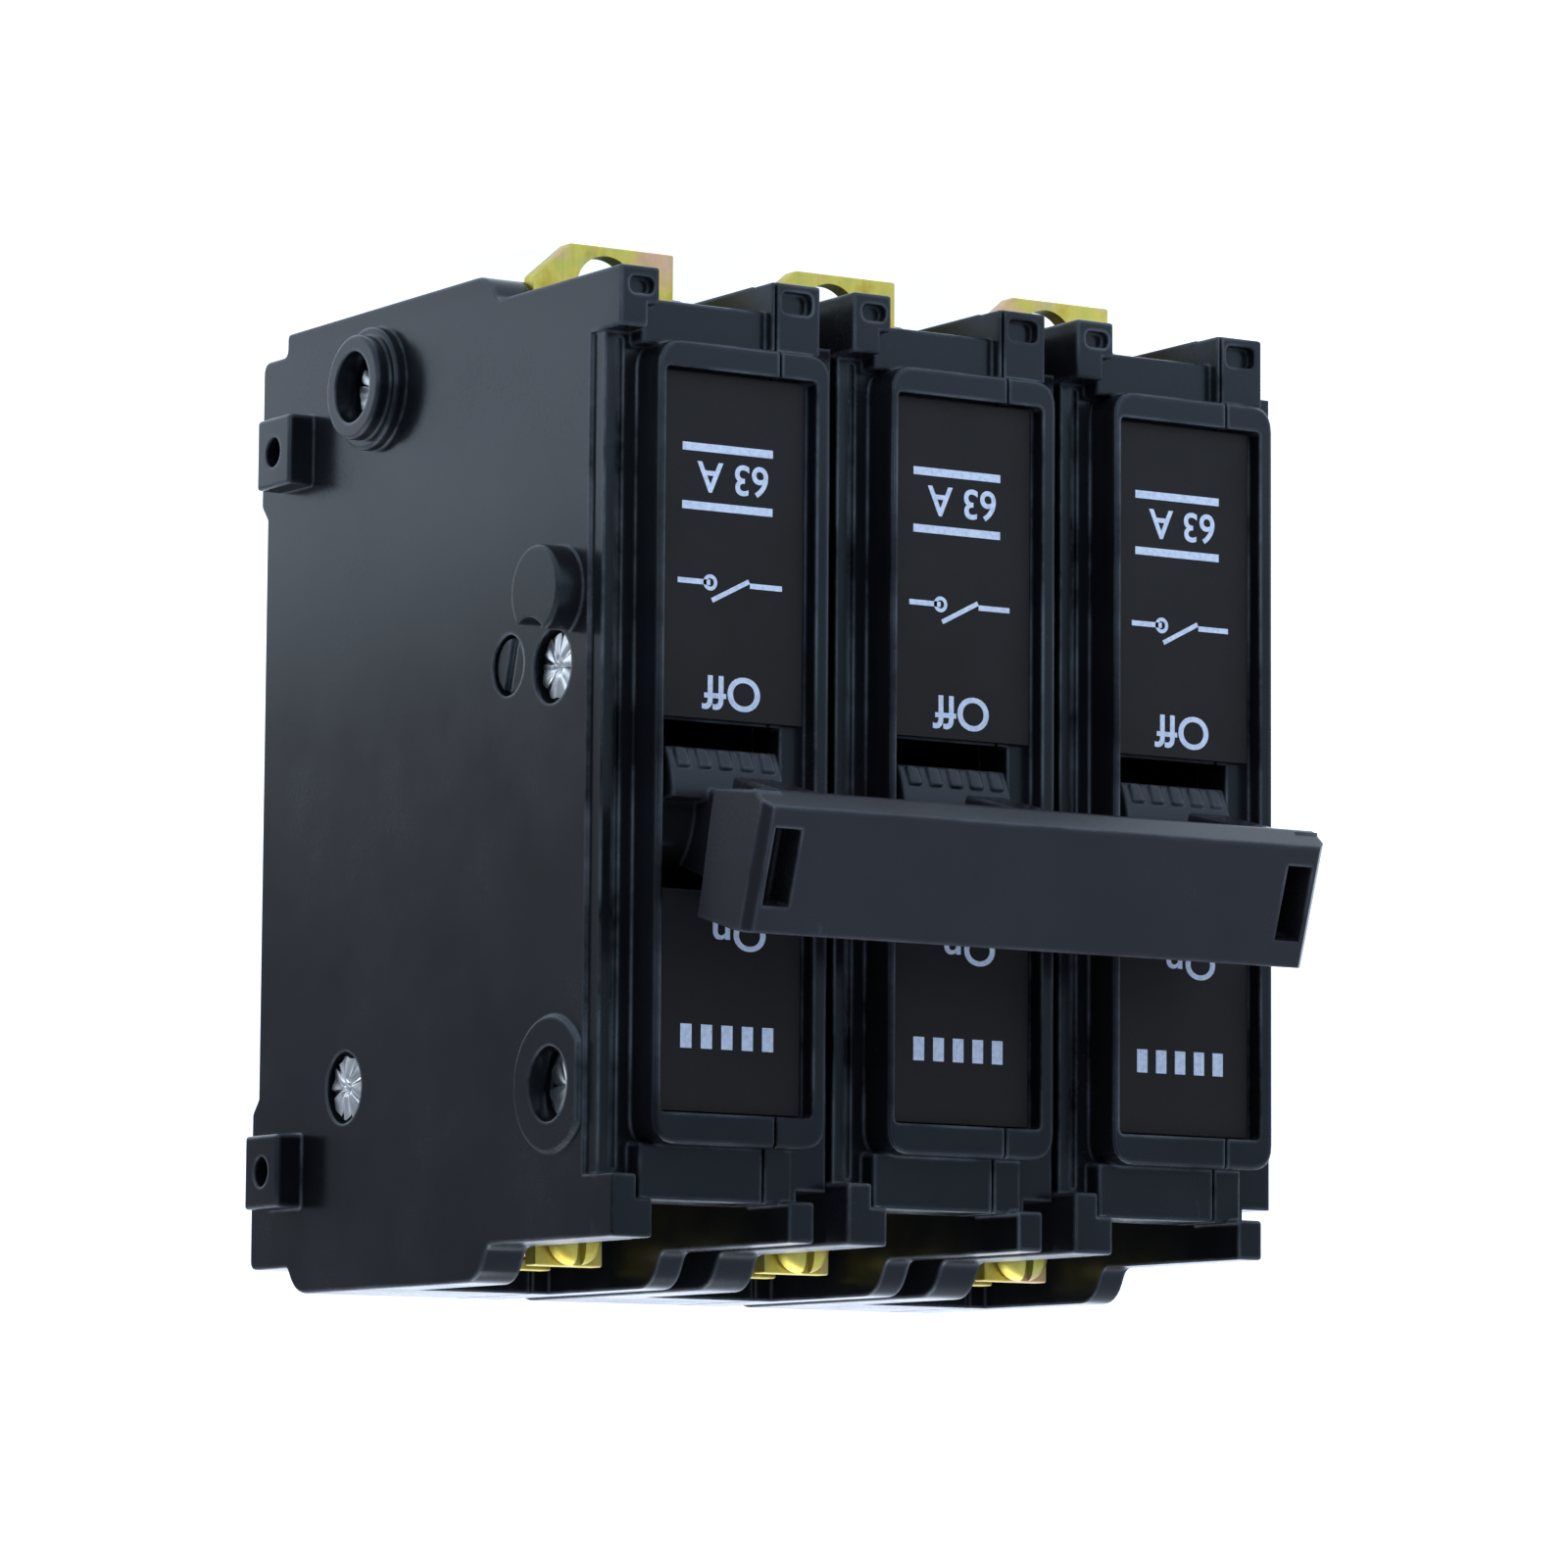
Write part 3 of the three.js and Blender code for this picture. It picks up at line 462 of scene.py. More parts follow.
def handle_shape():
    low, high = CORE_ANGLES
    crown_low, crown_high = CROWN_ANGLES
    profile = (
        sector(CORE_RADIUS, (low, crown_low - 1), 2) + sector(CROWN_RADIUS, CROWN_ANGLES)
        + sector(CORE_RADIUS, (crown_high + 1, high), 12) + sector(HUB_RADIUS, (high + 5, 355 + low), 24)
    )
    body = new_object("handle", slab_x(profile, HANDLE_X, bevel=0.3, segments=3))
    join(body, [
        block(LEVER_X, LEVER_ROOT_Y, LEVER_ROOT_Z, bevel=0.3, segments=2),
        slab_x(LEVER_OUTLINE, LEVER_X, bevel=0.35, segments=3),
        block(TAIL_X, TAIL_Y, TAIL_Z, bevel=0.2, segments=2),
    ] + crown_teeth())
    return cut(body, [rod_x((0, 0), AXLE_BORE, (-FAR, FAR), 32)])


def tie_end(x, inward):
    """The wedge that leaves a chamfer between the bar's front and its end at x."""
    front = TIE_OUTLINE[2][0]
    beyond = 2.0
    return slab_z([
        (x - inward * beyond, front + TIE_CHAMFER + beyond),
        (x + inward * (TIE_CHAMFER + beyond), front - beyond),
        (x - inward * beyond, front - beyond),
    ], (-FAR, FAR))


def tie_shape():
    bar = new_object("tie", slab_x(TIE_OUTLINE, TIE_X, bevel=0.22, segments=3))
    join(bar, [
        slab_x(TIE_WALL_OUTLINE, (TIE_X[0], TIE_X[0] + TIE_WALL), bevel=0.2, segments=3),
        slab_x(TIE_WALL_OUTLINE, (TIE_X[1] - TIE_WALL, TIE_X[1]), bevel=0.2, segments=3),
    ])
    cut(bar, [tie_end(TIE_X[0], 1), tie_end(TIE_X[1], -1)])
    return cut(bar, [block(span, (-FAR, TIE_WINDOW_END), TIE_WINDOW_Z) for span in TIE_WINDOWS])


def turned_on(shape, x):
    """Turns a shape drawn pointing straight out into its on position at the pivot."""
    turn = Matrix.Rotation(math.radians(-HANDLE_TILT), 4, "X")
    shape.data.transform(Matrix.Translation((x, *PIVOT)) @ turn)
    return shape


# ---------------------------------------------------------------- labels and print
PRINT_PROUD = 0.02
PRINT_X = (-4.1, 5.7)
RATING_LINES_Z = [(-29.0, -28.25), (-23.55, -22.8)]
RATING_SPAN = (-3.6, 4.1, -27.35, -24.45)
OFF_SPAN = (-2.9, 3.4, -7.6, -4.4)
ON_SPAN = (-3.7, 2.0, 14.7, 17.7)
SWITCH_LINE_Z = (-16.4, -15.9)
SWITCH_LINES_X = [(-5.2, -1.7), (2.6, 6.1)]
SWITCH_BLADE = [(-1.7, -16.35), (2.3, -14.3), (2.5, -14.7), (-1.5, -16.75)]
SWITCH_RING = (2.6, -16.15)
SWITCH_RING_RADIUS = 0.75
SWITCH_RING_LINE = 0.35
BAR_COUNT = 5
BAR_PITCH = 2.2
BAR_X = (-4.6, -3.4)
BAR_Z = (24.6, 26.8)


def label_shape(zs):
    return new_object("label", block(LABEL_X, LABEL_Y, zs, bevel=0.08, segments=2))


def ink(points):
    front = LABEL_Y[0]
    return new_object("ink", slab_y(points, (front - PRINT_PROUD, front + 0.02)))


def bar_ink(xs, zs):
    return ink([(xs[0], zs[0]), (xs[1], zs[0]), (xs[1], zs[1]), (xs[0], zs[1])])


def ring_ink(centre, radius, line):
    ring = ink(circle(centre, radius))
    return cut(ring, [slab_y(circle(centre, radius - line), (-FAR, FAR))])


def words(text, left, right, low, high):
    """Plain lettering that fills the given span of the label."""
    curve = bpy.data.curves.new("words", "FONT")
    curve.body = text
    curve.size = 4.0
    curve.extrude = 0.02
    curve.offset = 0.05
    curve.resolution_u = 6
    holder = bpy.data.objects.new("words", curve)
    bpy.context.scene.collection.objects.link(holder)
    graph = bpy.context.evaluated_depsgraph_get()
    mesh = bpy.data.meshes.new_from_object(holder.evaluated_get(graph), depsgraph=graph)
    bpy.data.objects.remove(holder)
    bm = bmesh.new()
    bm.from_mesh(mesh)
    bpy.data.meshes.remove(mesh)
    bmesh.ops.remove_doubles(bm, verts=bm.verts, dist=1e-4)
    xs = [v.co.x for v in bm.verts]
    ys = [v.co.y for v in bm.verts]
    wide = (right - left) / (max(xs) - min(xs))
    tall = (high - low) / (max(ys) - min(ys))
    for v in bm.verts:
        x, y, depth = v.co
        v.co = (left + (x - min(xs)) * wide, LABEL_Y[0] - depth, low + (y - min(ys)) * tall)
    return new_object("ink", bm)


def merged(objects, name):
    """Several objects as one, without booleans."""
    bm = bmesh.new()
    for item in objects:
        bm.from_mesh(item.data)
        bpy.data.objects.remove(item)
    return new_object(name, bm)


def off_print():
    """A rating between two lines, a plain switch symbol, and the word by the off end."""
    return merged([
        bar_ink(PRINT_X, RATING_LINES_Z[0]),
        bar_ink(PRINT_X, RATING_LINES_Z[1]),
        words("63 A", *RATING_SPAN),
        bar_ink(SWITCH_LINES_X[0], SWITCH_LINE_Z),
        ink(SWITCH_BLADE),
        bar_ink(SWITCH_LINES_X[1], SWITCH_LINE_Z),
        ring_ink(SWITCH_RING, SWITCH_RING_RADIUS, SWITCH_RING_LINE),
        words("Off", *OFF_SPAN),
    ], "off_print")


def on_print():
    """The word by the on end and a plain row of bars."""
    bars = [bar_ink((BAR_X[0] + BAR_PITCH * i, BAR_X[1] + BAR_PITCH * i), BAR_Z) for i in range(BAR_COUNT)]
    return merged([words("On", *ON_SPAN)] + bars, "on_print")


# ---------------------------------------------------------------- terminals
SCREW = (1.5, 43.0)
SCREW_RADIUS = 1.5
SCREW_HEAD_RADIUS = 2.7
THREAD_Y = (-43.0, -29.0)
THREAD_DEPTH = 0.2
THREAD_RISE = 0.35
THREAD_PITCH = 0.7
PLATE_HOLE = 1.9
TAB_HOLE = (0.0, -47.2)
TAB_HOLE_RADIUS = 3.3
PLATE_X = (-2.2, 5.2)


def line_tab_shape():
    blade = [(-7.5, -42.6), (-7.5, -51.4), (4.0, -51.4), (8.0, -47.9), (8.0, -42.6)]
    strap = outline([
        (-45.6, -43), (-43.6, -43), (-43.6, -29.75, 0.5), (-12.5, -29.75), (-12.5, -27.75),
        (-45.6, -27.75, 1.7),
    ])
    tab = new_object("tab", slab_y(blade, TAB_Y, bevel=0.18, segments=2))
    cut(tab, [rod_y(TAB_HOLE, TAB_HOLE_RADIUS, (-FAR, 0))])
    contact = slab_z(circle((3.9, -16.5), 2.1, 32), (-28, -26.55), bevel=0.2, segments=2)
    return join(tab, [slab_x(strap, (0.5, 7)), contact])


def load_lug_shape():
    lug = new_object("lug", block(PLATE_X, (-43, -41), (37.2, 45.7), bevel=0.2, segments=2))
    join(lug, [block((0, 5), (-42, -9), (37.2, 38.8)), block((0, 5), (-10.6, -8.6), (33, 38.8))])
    return cut(lug, [rod_y(SCREW, PLATE_HOLE, (-FAR, 0), 40)])


def wire_clamp_shape():
    clamp = new_object("clamp", block(PLATE_X, (-33.5, -31.5), (39.4, 45.7), bevel=0.2, segments=2))
    return cut(clamp, [rod_y(SCREW, PLATE_HOLE, (-FAR, 0), 40)])


def lathe_y(profile, centre, sides=48):
    """A closed solid of revolution about a line along y. The profile is [(radius, y)], axis to axis."""
    bm = bmesh.new()
    rings = []
    for radius, y in profile:
        if radius == 0:
            rings.append([bm.verts.new((centre[0], y, centre[1]))])
        else:
            rings.append([bm.verts.new((x, y, z)) for x, z in circle(centre, radius, sides)])
    for a, b in zip(rings, rings[1:]):
        for i in range(sides):
            j = (i + 1) % sides
            corners = [a[i % len(a)], a[j % len(a)], b[j % len(b)], b[i % len(b)]]
            bm.faces.new(list(dict.fromkeys(corners)))
    return bm


def load_screw_shape():
    """Domed, slotted head and a shank whose thread is drawn as rings."""
    profile = [
        (0, -45.5), (0.8, -45.46), (1.5, -45.38), (2.1, -45.2), (2.5, -44.9),
        (SCREW_HEAD_RADIUS, -44.5), (SCREW_HEAD_RADIUS, -43.5), (2.6, -43.4), (SCREW_RADIUS, -43.4),
    ]
    y = THREAD_Y[0]
    while y < THREAD_Y[1]:
        profile += [(SCREW_RADIUS - THREAD_DEPTH, y), (SCREW_RADIUS, y + THREAD_RISE)]
        y += THREAD_PITCH
    profile += [(1.1, -28.3), (0.8, -28.0), (0, -28.0)]
    screw = new_object("screw", lathe_y(profile, SCREW))
    x, z = SCREW
    return cut(screw, [block((x - 0.45, x + 0.45), (-46, -44.5), (z - FAR, z + FAR))])


# ---------------------------------------------------------------- small parts
SLOT_SLANT = math.radians(-16)


def seal_plug_shape():
    outer = CASE_X - 0.35
    plug = new_object("plug", rod_x(SEAL, 2.6, (CASE_X - 1.2, outer), 48, bevel=0.15, segments=2))
    slant = Vector((math.cos(SLOT_SLANT), math.sin(SLOT_SLANT)))
    along = Vector((-slant.y, slant.x)) * SEAL_HOLE
    middle = Vector(SEAL)
    half = slant * 0.65
    corners = [middle - half - along, middle + half - along, middle + half + along, middle - half + along]
    return cut(plug, [slab_x([tuple(corner) for corner in corners], (outer - 0.5, FAR))])


RIVET_RADIUS = 2.1
RIVET_HEAD = 3.13
HEAD_GAP = 0.15
HEAD_THICK = 0.8
PETALS = 7
END_FORMS = ("cup", "curl", "flat", "curl")  # how far each rivet's petals were rolled over


def petal_height(share, edge, form):
    """Height of a rivet end over its seat. A curled end has a dull cup, a lip, then a slope to the tip."""
    if form == "cup":
        return 0.08 + 1.1 * max(0.0, share - 0.35) - 0.35 * share * (1 - edge)
    if form == "flat":
        return 0.3 - 0.35 * share * (1 - edge)
    if share < 0.12:
        return 0.2
    lip = math.sin(math.pi / 2 * min(1.0, (share - 0.12) / 0.2))
    slope = 0.22 * max(0.0, share - 0.45)
    return 0.2 + 0.56 * lip - slope - 0.35 * share * (1 - edge)


def rivet_end(place, face, sign, seed, form="curl"):
    """The split and curled end of a tubular rivet, as one closed disc of petals."""
    bm = bmesh.new()
    around, across = 168, 14
    hub_top = bm.verts.new((face + sign * 0.2, *place))
    hub_low = bm.verts.new((face, *place))
    top, bottom = [], []
    for i in range(around):
        turn = 2 * math.pi * i / around
        warped = turn + 0.3 * math.sin(turn + seed) + 0.12 * math.sin(turn * 3 + seed * 2)
        split = abs((warped * PETALS / (2 * math.pi)) % 1.0 - 0.5) * 2
        edge = min(1.0, (1 - split) / 0.22)
        reach = 1.75 + 1.25 * edge ** 0.6 + 0.12 * math.sin(turn * 9 + seed * 2)
        reach = min(reach, RIVET_HEAD)
        upper, lower = [], []
        for j in range(1, across + 1):
            share = j / across
            radius = reach * share
            y = place[0] + radius * math.cos(turn)
            z = place[1] + radius * math.sin(turn)
            lift = petal_height(share, edge, form) + 0.05 * math.sin(turn * PETALS + seed + 3 * share)
            upper.append(bm.verts.new((face + sign * max(0.04, min(lift, HEAD_THICK)), y, z)))
            lower.append(bm.verts.new((face, y, z)))
        top.append(upper)
        bottom.append(lower)
    for i in range(around):
        k = (i + 1) % around
        bm.faces.new((hub_top, top[i][0], top[k][0]))
        bm.faces.new((hub_low, bottom[k][0], bottom[i][0]))
        for j in range(across - 1):
            bm.faces.new((top[i][j], top[i][j + 1], top[k][j + 1], top[k][j]))
            bm.faces.new((bottom[i][j], bottom[k][j], bottom[k][j + 1], bottom[i][j + 1]))
        bm.faces.new((top[i][-1], bottom[i][-1], bottom[k][-1], top[k][-1]))
    return bm


def rivet_shape(index, place):
    seat = CASE_X - HEAD_DEPTHS[index]
    outer = POLES["A"] + seat + HEAD_GAP
    inner = POLES["C"] + (-seat if index else CHANNEL_X) - HEAD_GAP
    stem = new_object("rivet", rod_x(place, RIVET_RADIUS, (inner, outer), 48))
    ends = [
        new_object("end", rivet_end(place, outer + 0.01, 1, index + 1, END_FORMS[index])),
        new_object("end", rivet_end(place, inner - 0.01, -1, index + 5)),
    ]
    return merged([stem] + ends, "rivet")


# ---------------------------------------------------------------- materials
class Shader:
    """A material's node tree, with short ways to add nodes and to wire them."""

    def __init__(self, name):
        self.material = bpy.data.materials.new(name)
        self.material.use_nodes = True
        self.tree = self.material.node_tree
        self.tree.nodes.clear()
        self.surface = self.add("BsdfPrincipled")
        output = self.add("OutputMaterial")
        self.tree.links.new(self.surface.outputs[0], output.inputs["Surface"])
        self.place = self.add("TexCoord").outputs["Object"]

    def add(self, kind, **settings):
        made = self.tree.nodes.new("ShaderNode" + kind)
        for key, value in settings.items():
            setattr(made, key, value)
        return made

    def feed(self, made, **values):
        for key, value in values.items():
            socket = made.inputs[int(key[1:])] if key[1:].isdigit() else made.inputs[key.replace("_", " ")]
            if isinstance(value, bpy.types.NodeSocket):
                self.tree.links.new(value, socket)
            else:
                socket.default_value = value
        return made

    def noise(self, size_mm, detail=3.0, roughness=0.5, stretch=None, seed=0.0):
        """Noise with features of about size_mm; stretch scales the axes."""
        mapping = self.add("Mapping")
        shift = (seed, seed * 0.7, seed * 1.3)
        self.feed(mapping, Vector=self.place, Scale=stretch or (1, 1, 1), Location=shift)
        texture = self.add("TexNoise")
        self.feed(texture, Vector=mapping.outputs[0], Scale=1 / (size_mm * MM), Detail=detail,
                  Roughness=roughness)
        return texture.outputs["Fac"]

    def span(self, value, low, high, to_low=0.0, to_high=1.0):
        made = self.add("MapRange")
        self.feed(made, Value=value, From_Min=low, From_Max=high, To_Min=to_low, To_Max=to_high)
        return made.outputs[0]

    def math(self, operation, a, b):
        made = self.add("Math", operation=operation)
        return self.feed(made, _0=a, _1=b).outputs[0]

    def blend(self, share, a, b):
        made = self.add("Mix", data_type="RGBA")
        return self.feed(made, _0=share, _6=a, _7=b).outputs[2]

    def colours(self, value, stops):
        made = self.add("ValToRGB")
        ramp = made.color_ramp
        while len(ramp.elements) < len(stops):
            ramp.elements.new(0.5)
        for element, (where, colour) in zip(ramp.elements, stops):
            element.position = where
            element.color = (*colour, 1)
        return self.feed(made, Fac=value).outputs[0]

    def rounded(self, radius_mm):
        made = self.add("Bevel", samples=4)
        return self.feed(made, Radius=radius_mm * MM).outputs[0]

    def edge(self, radius_mm, low, high):
        """1 along convex and concave edges, 0 on flat faces."""
        normal = self.rounded(radius_mm)
        flat = self.add("NewGeometry").outputs["True Normal"]
        dot = self.add("VectorMath", operation="DOT_PRODUCT")
        self.feed(dot, _0=normal, _1=flat)
        return self.span(dot.outputs["Value"], high, low)

    def bump(self, height, strength, depth_mm, normal=None):
        made = self.add("Bump")
        self.feed(made, Height=height, Strength=strength, Distance=depth_mm * MM)
        if normal is not None:
            self.feed(made, Normal=normal)
        return made.outputs[0]

    def finish(self, **values):
        self.feed(self.surface, **values)
        return self.material


def rgb(*values):
    return (*values, 1.0)


def molded(name, deep, pale, pale_wear_and_highlight, roughness, wear_and_highlight_amount, grain=0.5):
    """Molded thermoset: fine grain, cloudy flow marks, dusty handling marks, and pale edges that are partly
    rubbing and partly a painted edge highlight.
    """
    s = Shader(name)
    clouds = s.noise(14, 4.0, 0.6)
    fine = s.noise(grain, 2.0, 0.5, seed=3.0)
    edge_breakup = s.noise(9, 5.0, 0.6, seed=5.0)
    streaks = s.noise(2.5, 4.0, 0.7, stretch=(1, 1, 0.18), seed=8.0)
    body = s.blend(s.span(clouds, 0.35, 0.7), deep, pale)
    normal = s.rounded(0.35)
    # pale along every edge, broken up by noise: partly rubbing, partly a painted edge highlight
    edge_wear_and_highlight = s.math("MULTIPLY", s.edge(0.6, 0.86, 0.985), s.span(edge_breakup, 0.36, 0.66))
    marks = s.math("MULTIPLY", s.span(streaks, 0.66, 0.82), s.span(clouds, 0.5, 0.72))
    share = s.math("MULTIPLY", s.math("MAXIMUM", edge_wear_and_highlight, s.math("MULTIPLY", marks, 0.5)), wear_and_highlight_amount)
    colour = s.blend(share, body, pale_wear_and_highlight)
    gloss = s.math("ADD", s.span(clouds, 0.3, 0.75, roughness - 0.06, roughness + 0.08),
                   s.span(fine, 0.2, 0.8, -0.04, 0.04))
    return s.finish(Base_Color=colour, Roughness=gloss, Normal=s.bump(fine, 0.15, 0.03, normal), IOR=1.34,
                    Specular_Tint=rgb(0.72, 0.86, 1.0))


def printed_label(name):
    """Matt black film with a faint grain and a few pale rubs."""
    s = Shader(name)
    fine = s.noise(0.35, 2.0)
    clouds = s.noise(9, 4.0, 0.6, seed=2.0)
    rubs = s.noise(1.1, 5.0, 0.7, stretch=(1, 1, 0.35), seed=6.0)
    body = s.blend(s.span(clouds, 0.35, 0.7), rgb(0.0048, 0.0047, 0.0052), rgb(0.0078, 0.0076, 0.0084))
    colour = s.blend(s.span(rubs, 0.7, 0.86, 0.0, 0.35), body, rgb(0.05, 0.055, 0.06))
    return s.finish(Base_Color=colour, Roughness=s.span(fine, 0.2, 0.8, 0.5, 0.62), IOR=1.3,
                    Normal=s.bump(fine, 0.2, 0.02))


def ink_material(name):
    """Pale blue-white screen print, slightly uneven."""
    s = Shader(name)
    patchy = s.noise(0.5, 4.0, 0.6)
    colour = s.blend(s.span(patchy, 0.4, 0.72), rgb(0.58, 0.68, 0.86), rgb(0.42, 0.5, 0.66))
    return s.finish(Base_Color=colour, Roughness=s.span(patchy, 0.2, 0.8, 0.55, 0.7),
                    Normal=s.bump(patchy, 0.15, 0.01))


def chromate(name):
    """Yellow chromate over zinc, drifting to pink and green, with fine scratches."""
    s = Shader(name)
    patches = s.noise(3.2, 3.0, 0.6)
    tint = s.noise(7.0, 2.0, 0.5, seed=4.0)
    scratches = s.noise(0.35, 3.0, 0.6, stretch=(1, 0.3, 0.08), seed=7.0)
    yellow = s.colours(patches, [
        (0.3, (0.5, 0.38, 0.05)), (0.5, (0.66, 0.56, 0.12)), (0.72, (0.5, 0.52, 0.12)),
    ])
    green = s.span(s.noise(4.5, 2.0, 0.5, seed=9.0), 0.56, 0.7, 0.0, 0.5)
    colour = s.blend(s.span(tint, 0.54, 0.68, 0.0, 0.75), yellow, rgb(0.72, 0.42, 0.34))
    colour = s.blend(green, colour, rgb(0.34, 0.5, 0.2))
    gloss = s.span(scratches, 0.25, 0.75, 0.36, 0.56)
    return s.finish(Base_Color=colour, Metallic=0.85, Roughness=gloss, Normal=s.bump(scratches, 0.25, 0.02))


def bare_metal(name, deep, pale, roughness, scratch_mm=0.3):
    """Plain metal with drawn scratches and dull patches."""
    s = Shader(name)
    patches = s.noise(4, 4.0, 0.6)
    scratches = s.noise(scratch_mm, 3.0, 0.6, stretch=(1, 0.25, 0.1), seed=7.0)
    colour = s.blend(s.span(patches, 0.35, 0.7), deep, pale)
    gloss = s.math("ADD", s.span(scratches, 0.2, 0.8, roughness - 0.08, roughness + 0.1),
                   s.span(patches, 0.3, 0.7, -0.05, 0.05))
    return s.finish(Base_Color=colour, Metallic=1.0, Roughness=gloss, Normal=s.bump(scratches, 0.3, 0.02))


# The third colour of each molding goes on its edges and dusty marks: partly rubbing and dust, and on the
# edges partly a painted edge highlight.
CASE_LOOK = molded("case_molding", rgb(0.0045, 0.0052, 0.0068), rgb(0.0075, 0.0084, 0.0105),
                   rgb(0.15, 0.175, 0.205), 0.22, 1.0)
HANDLE_LOOK = molded("handle_molding", rgb(0.0125, 0.0125, 0.0155), rgb(0.0165, 0.0165, 0.0205),
                     rgb(0.13, 0.15, 0.175), 0.22, 0.9, 0.35)
LABEL_LOOK = printed_label("label_film")
INK_LOOK = ink_material("label_ink")
CHROMATE_LOOK = chromate("yellow_chromate")
ZINC_LOOK = bare_metal("zinc_rivet", rgb(0.55, 0.58, 0.6), rgb(0.85, 0.88, 0.9), 0.3, 0.25)
STEEL_LOOK = bare_metal("sheet_steel", rgb(0.36, 0.37, 0.38), rgb(0.5, 0.51, 0.53), 0.38)
COPPER_LOOK = bare_metal("copper_alloy", rgb(0.62, 0.33, 0.18), rgb(0.74, 0.44, 0.27), 0.32)


# ---------------------------------------------------------------- assembly
SMOOTH_UNDER = math.radians(32)


def install(shape, name, body, look, nodes, x=0.0):
    """Puts a copy of a shape drawn in mm in its place in the row frame, in metres, on its body."""
    piece = copy_of(shape, name)
    to_row = Matrix.Diagonal((MM, MM, MM, 1)) @ Matrix.Translation((x, REAR, 0))
    piece.data.transform(to_row)
    bm = bmesh.new()
    bm.from_mesh(piece.data)
    bmesh.ops.remove_doubles(bm, verts=bm.verts, dist=1e-8)
    bm.to_mesh(piece.data)
    bm.free()
    piece.data.shade_smooth()
    piece.data.set_sharp_from_angle(angle=SMOOTH_UNDER)
    even = piece.modifiers.new("even", "WEIGHTED_NORMAL")
    even.keep_sharp = True
    piece.data.materials.clear()
    piece.data.materials.append(look)
    piece.data.name = name
    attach(piece, body)
    if nodes:
        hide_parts(*nodes)
    return piece


def build_poles():
    base, cover = case_halves()
    off_zs = (FLOOR_Z[0] + LABEL_GAP, WINDOW_Z[0] - LABEL_GAP)
    on_zs = (WINDOW_Z[1] + LABEL_GAP, FLOOR_Z[1] - LABEL_GAP)
    shared = [
        (label_shape(off_zs), "label_off", "case", "label", LABEL_LOOK, True),
        (label_shape(on_zs), "label_on", "case", "label", LABEL_LOOK, True),
        (off_print(), "print_off", "case", "label", INK_LOOK, False),
        (on_print(), "print_on", "case", "label", INK_LOOK, False),
        (turned_on(handle_shape(), 0), "handle", "handle", "handle", HANDLE_LOOK, True),
        (line_tab_shape(), "line_tab", "case", "chromate", CHROMATE_LOOK, True),
        (load_lug_shape(), "load_lug", "case", "chromate", CHROMATE_LOOK, True),
        (wire_clamp_shape(), "wire_clamp", "clamp_{}", "chromate", CHROMATE_LOOK, True),
        (load_screw_shape(), "load_screw", "screw_{}", "chromate", CHROMATE_LOOK, True),
        (seal_plug_shape(), "seal_plug", "case", "case", CASE_LOOK, True),
    ]
    trip_hole = (TRIP_AXIS, TRIP_RADIUS + 0.5)
    for pole, x in POLES.items():
        for shape, name, body, slot, look, stands_in in shared:
            nodes = [f"{name}_{pole}"] if stands_in else []
            install(shape, f"{name}_fine_{pole}", body.format(pole), look, nodes, x)
        half = copy_of(base, "half")
        if pole != "A":
            cut(half, [rod_x(*trip_hole, (0, FAR), 24)])
        install(half, f"case_base_{pole}", "case", CASE_LOOK, [f"base_{pole}"], x)
        bpy.data.objects.remove(half)
        half = copy_of(cover, "half")
        if pole != "C":
            cut(half, [rod_x(*trip_hole, (-FAR, 0), 24)])
        install(half, f"case_cover_{pole}", "case", CASE_LOOK, [f"cover_{pole}"], x)
        bpy.data.objects.remove(half)
    for used in [base, cover] + [row[0] for row in shared]:
        bpy.data.objects.remove(used)


def build_common():
    tie = turned_on(tie_shape(), 0)
    install(tie, "handle_tie_fine", "handle", HANDLE_LOOK, ["handle_tie"])
    bpy.data.objects.remove(tie)
    for index, place in enumerate(RIVETS):
        shape = rivet_shape(index, place)
        number = index + 1
        install(shape, f"rivet_fine_{number}", "case", ZINC_LOOK, [f"rivet_{number}"])
        bpy.data.objects.remove(shape)


def finish_inner_nodes():
    """The working parts inside the case keep their CAD shapes and take metal finishes."""
    for name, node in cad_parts.items():
        look = COPPER_LOOK if name.startswith("contact_arm") else STEEL_LOOK
        for slot in node.material_slots:
            slot.material = look
        node.data.shade_flat()


build_poles()
build_common()
finish_inner_nodes()


# ---------------------------------------------------------------- camera, floor and light
CAMERA_AT = (0.367749, -0.618683, 0.075500)
CAMERA_AZIMUTH = math.radians(32.28085)
CAMERA_ELEVATION = math.radians(6.44133)
CAMERA_ROLL = math.radians(-0.41253)  # besides the half turn: the picture is upside down
SENSOR_MM = 36.0
FOCAL_MM = 7253.575 / 1600 * SENSOR_MM
FLOOR_Z_M = -0.0514


def make_camera():
    sin_a, cos_a = math.sin(CAMERA_AZIMUTH), math.cos(CAMERA_AZIMUTH)
    sin_e, cos_e = math.sin(CAMERA_ELEVATION), math.cos(CAMERA_ELEVATION)
    back = Vector((sin_a * cos_e, -cos_a * cos_e, sin_e))
    right = Vector((cos_a, sin_a, 0))
    up = Vector((-sin_e * sin_a, sin_e * cos_a, cos_e))
    sin_r, cos_r = math.sin(CAMERA_ROLL), math.cos(CAMERA_ROLL)
    picture_right = -cos_r * right + sin_r * up
    picture_up = -sin_r * right - cos_r * up
    data = bpy.data.cameras.new("camera")
    data.sensor_width = SENSOR_MM
    data.lens = FOCAL_MM
    data.clip_start = 0.01
    data.clip_end = 200.0
    camera = bpy.data.objects.new("camera", data)
    axes = Matrix((picture_right, picture_up, back)).transposed().to_4x4()
    camera.matrix_world = Matrix.Translation(CAMERA_AT) @ axes
    bpy.context.scene.collection.objects.link(camera)
    bpy.context.scene.camera = camera


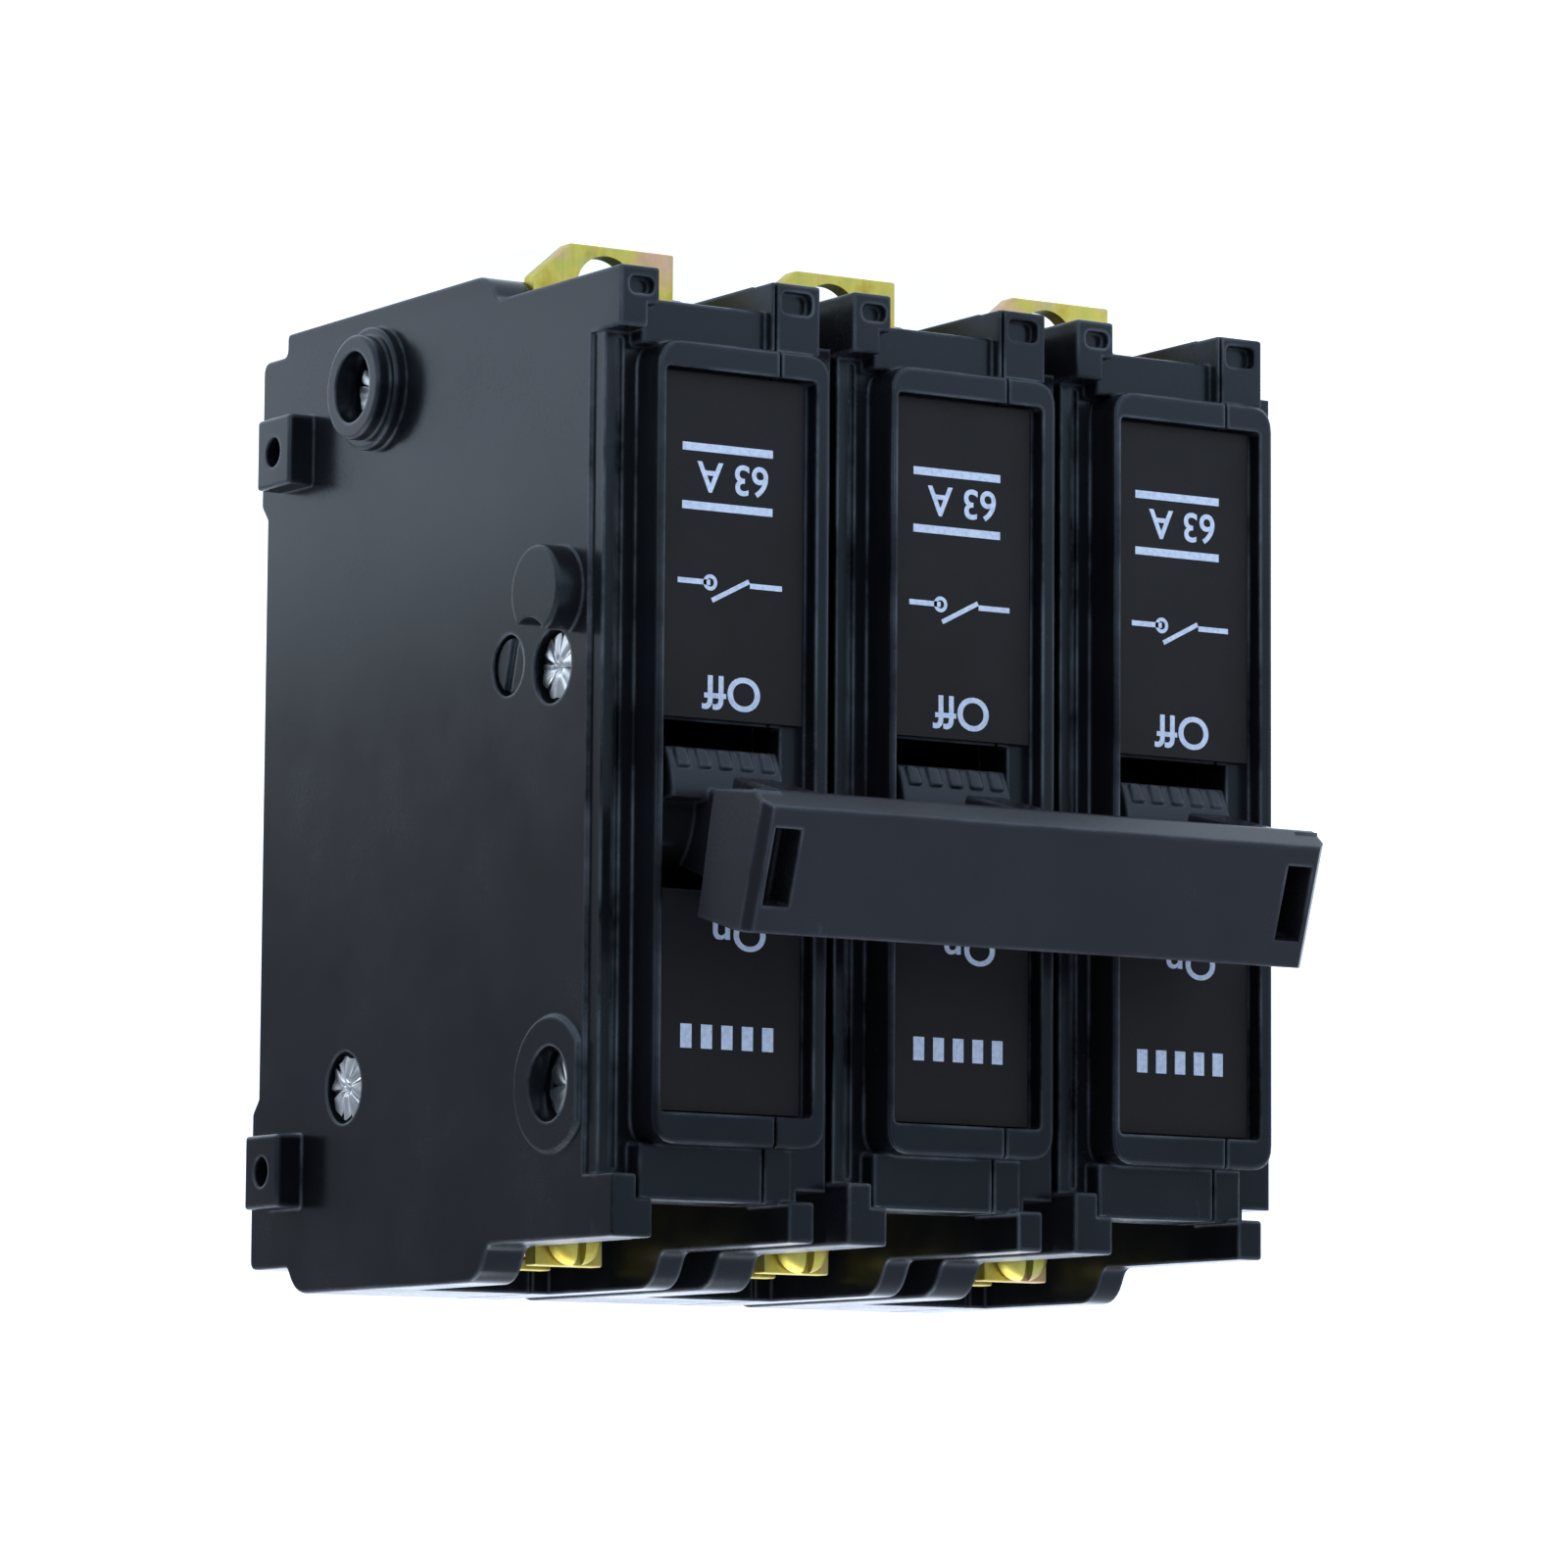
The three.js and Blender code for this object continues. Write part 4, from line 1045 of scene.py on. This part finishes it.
def make_floor():
    """A pale floor with a lit table top round and behind the object."""
    bm = bmesh.new()
    corners = [(-60, -60), (60, -60), (60, 120), (-60, 120)]
    bm.faces.new([bm.verts.new((x, y, FLOOR_Z_M)) for x, y in corners])
    floor = new_object("floor", bm)
    s = Shader("lit_table")
    soft = s.noise(40, 2.0)
    apart = s.add("SeparateXYZ")
    s.feed(apart, Vector=s.place)
    table = s.math("MULTIPLY", s.span(apart.outputs["X"], 0.22, 0.12),
                   s.span(apart.outputs["Y"], -0.22, -0.16, 0.35, 1.0))
    floor.data.materials.append(s.finish(
        Base_Color=s.blend(soft, rgb(0.28, 0.28, 0.28), rgb(0.3, 0.3, 0.3)), Roughness=0.8,
        Emission_Color=rgb(0.87, 1.0, 1.16), Emission_Strength=s.math("MULTIPLY", table, 1.12)))


def area_light(name, at, towards, size, watts, colour=(1, 1, 1)):
    data = bpy.data.lights.new(name, "AREA")
    data.shape = "RECTANGLE"
    data.size, data.size_y = size
    data.energy = watts
    data.color = colour
    lamp = bpy.data.objects.new(name, data)
    lamp.location = at
    lamp.rotation_mode = "QUATERNION"
    lamp.rotation_quaternion = (Vector(towards) - Vector(at)).to_track_quat("-Z", "Y")
    bpy.context.scene.collection.objects.link(lamp)


def make_sky():
    """White behind and above the object, dark low down and on the side of the camera."""
    world = bpy.data.worlds.new("studio")
    bpy.context.scene.world = world
    world.use_nodes = True
    tree = world.node_tree

    def ranged(source, low, high, to_low):
        made = tree.nodes.new("ShaderNodeMapRange")
        for name, value in (("From Min", low), ("From Max", high), ("To Min", to_low), ("To Max", 1.0)):
            made.inputs[name].default_value = value
        tree.links.new(source, made.inputs["Value"])
        return made.outputs[0]

    place = tree.nodes.new("ShaderNodeTexCoord")
    apart = tree.nodes.new("ShaderNodeSeparateXYZ")
    tree.links.new(place.outputs["Generated"], apart.inputs[0])
    facing = tree.nodes.new("ShaderNodeVectorMath")
    facing.operation = "DOT_PRODUCT"
    facing.inputs[1].default_value = (-1.0, 0.35, 0.8)
    tree.links.new(place.outputs["Generated"], facing.inputs[0])
    both = tree.nodes.new("ShaderNodeMath")
    both.operation = "MULTIPLY"
    tree.links.new(ranged(facing.outputs["Value"], -0.35, 0.45, 0.3), both.inputs[0])
    tree.links.new(ranged(apart.outputs["Z"], -0.04, 0.02, 0.08), both.inputs[1])
    behind = tree.nodes.new("ShaderNodeVectorMath")
    behind.operation = "DOT_PRODUCT"
    behind.inputs[1].default_value = (-0.6, 0.8, 0.0)
    tree.links.new(place.outputs["Generated"], behind.inputs[0])
    panel = tree.nodes.new("ShaderNodeMath")
    panel.operation = "MULTIPLY"
    tree.links.new(both.outputs[0], panel.inputs[0])
    tree.links.new(ranged(behind.outputs["Value"], 0.75, 0.97, 0.5), panel.inputs[1])
    lift = tree.nodes.new("ShaderNodeMath")
    lift.operation = "MULTIPLY"
    lift.inputs[1].default_value = 1.9
    tree.links.new(panel.outputs[0], lift.inputs[0])
    background = tree.nodes["Background"]
    background.inputs["Color"].default_value = (0.84, 0.93, 1.1, 1)
    tree.links.new(lift.outputs[0], background.inputs["Strength"])


make_camera()
make_floor()
make_sky()
area_light("overhead", (0.05, 0.15, 0.75), (0, -0.04, 0), (0.8, 0.8), 6.0)
bpy.context.scene.view_settings.view_transform = "Standard"
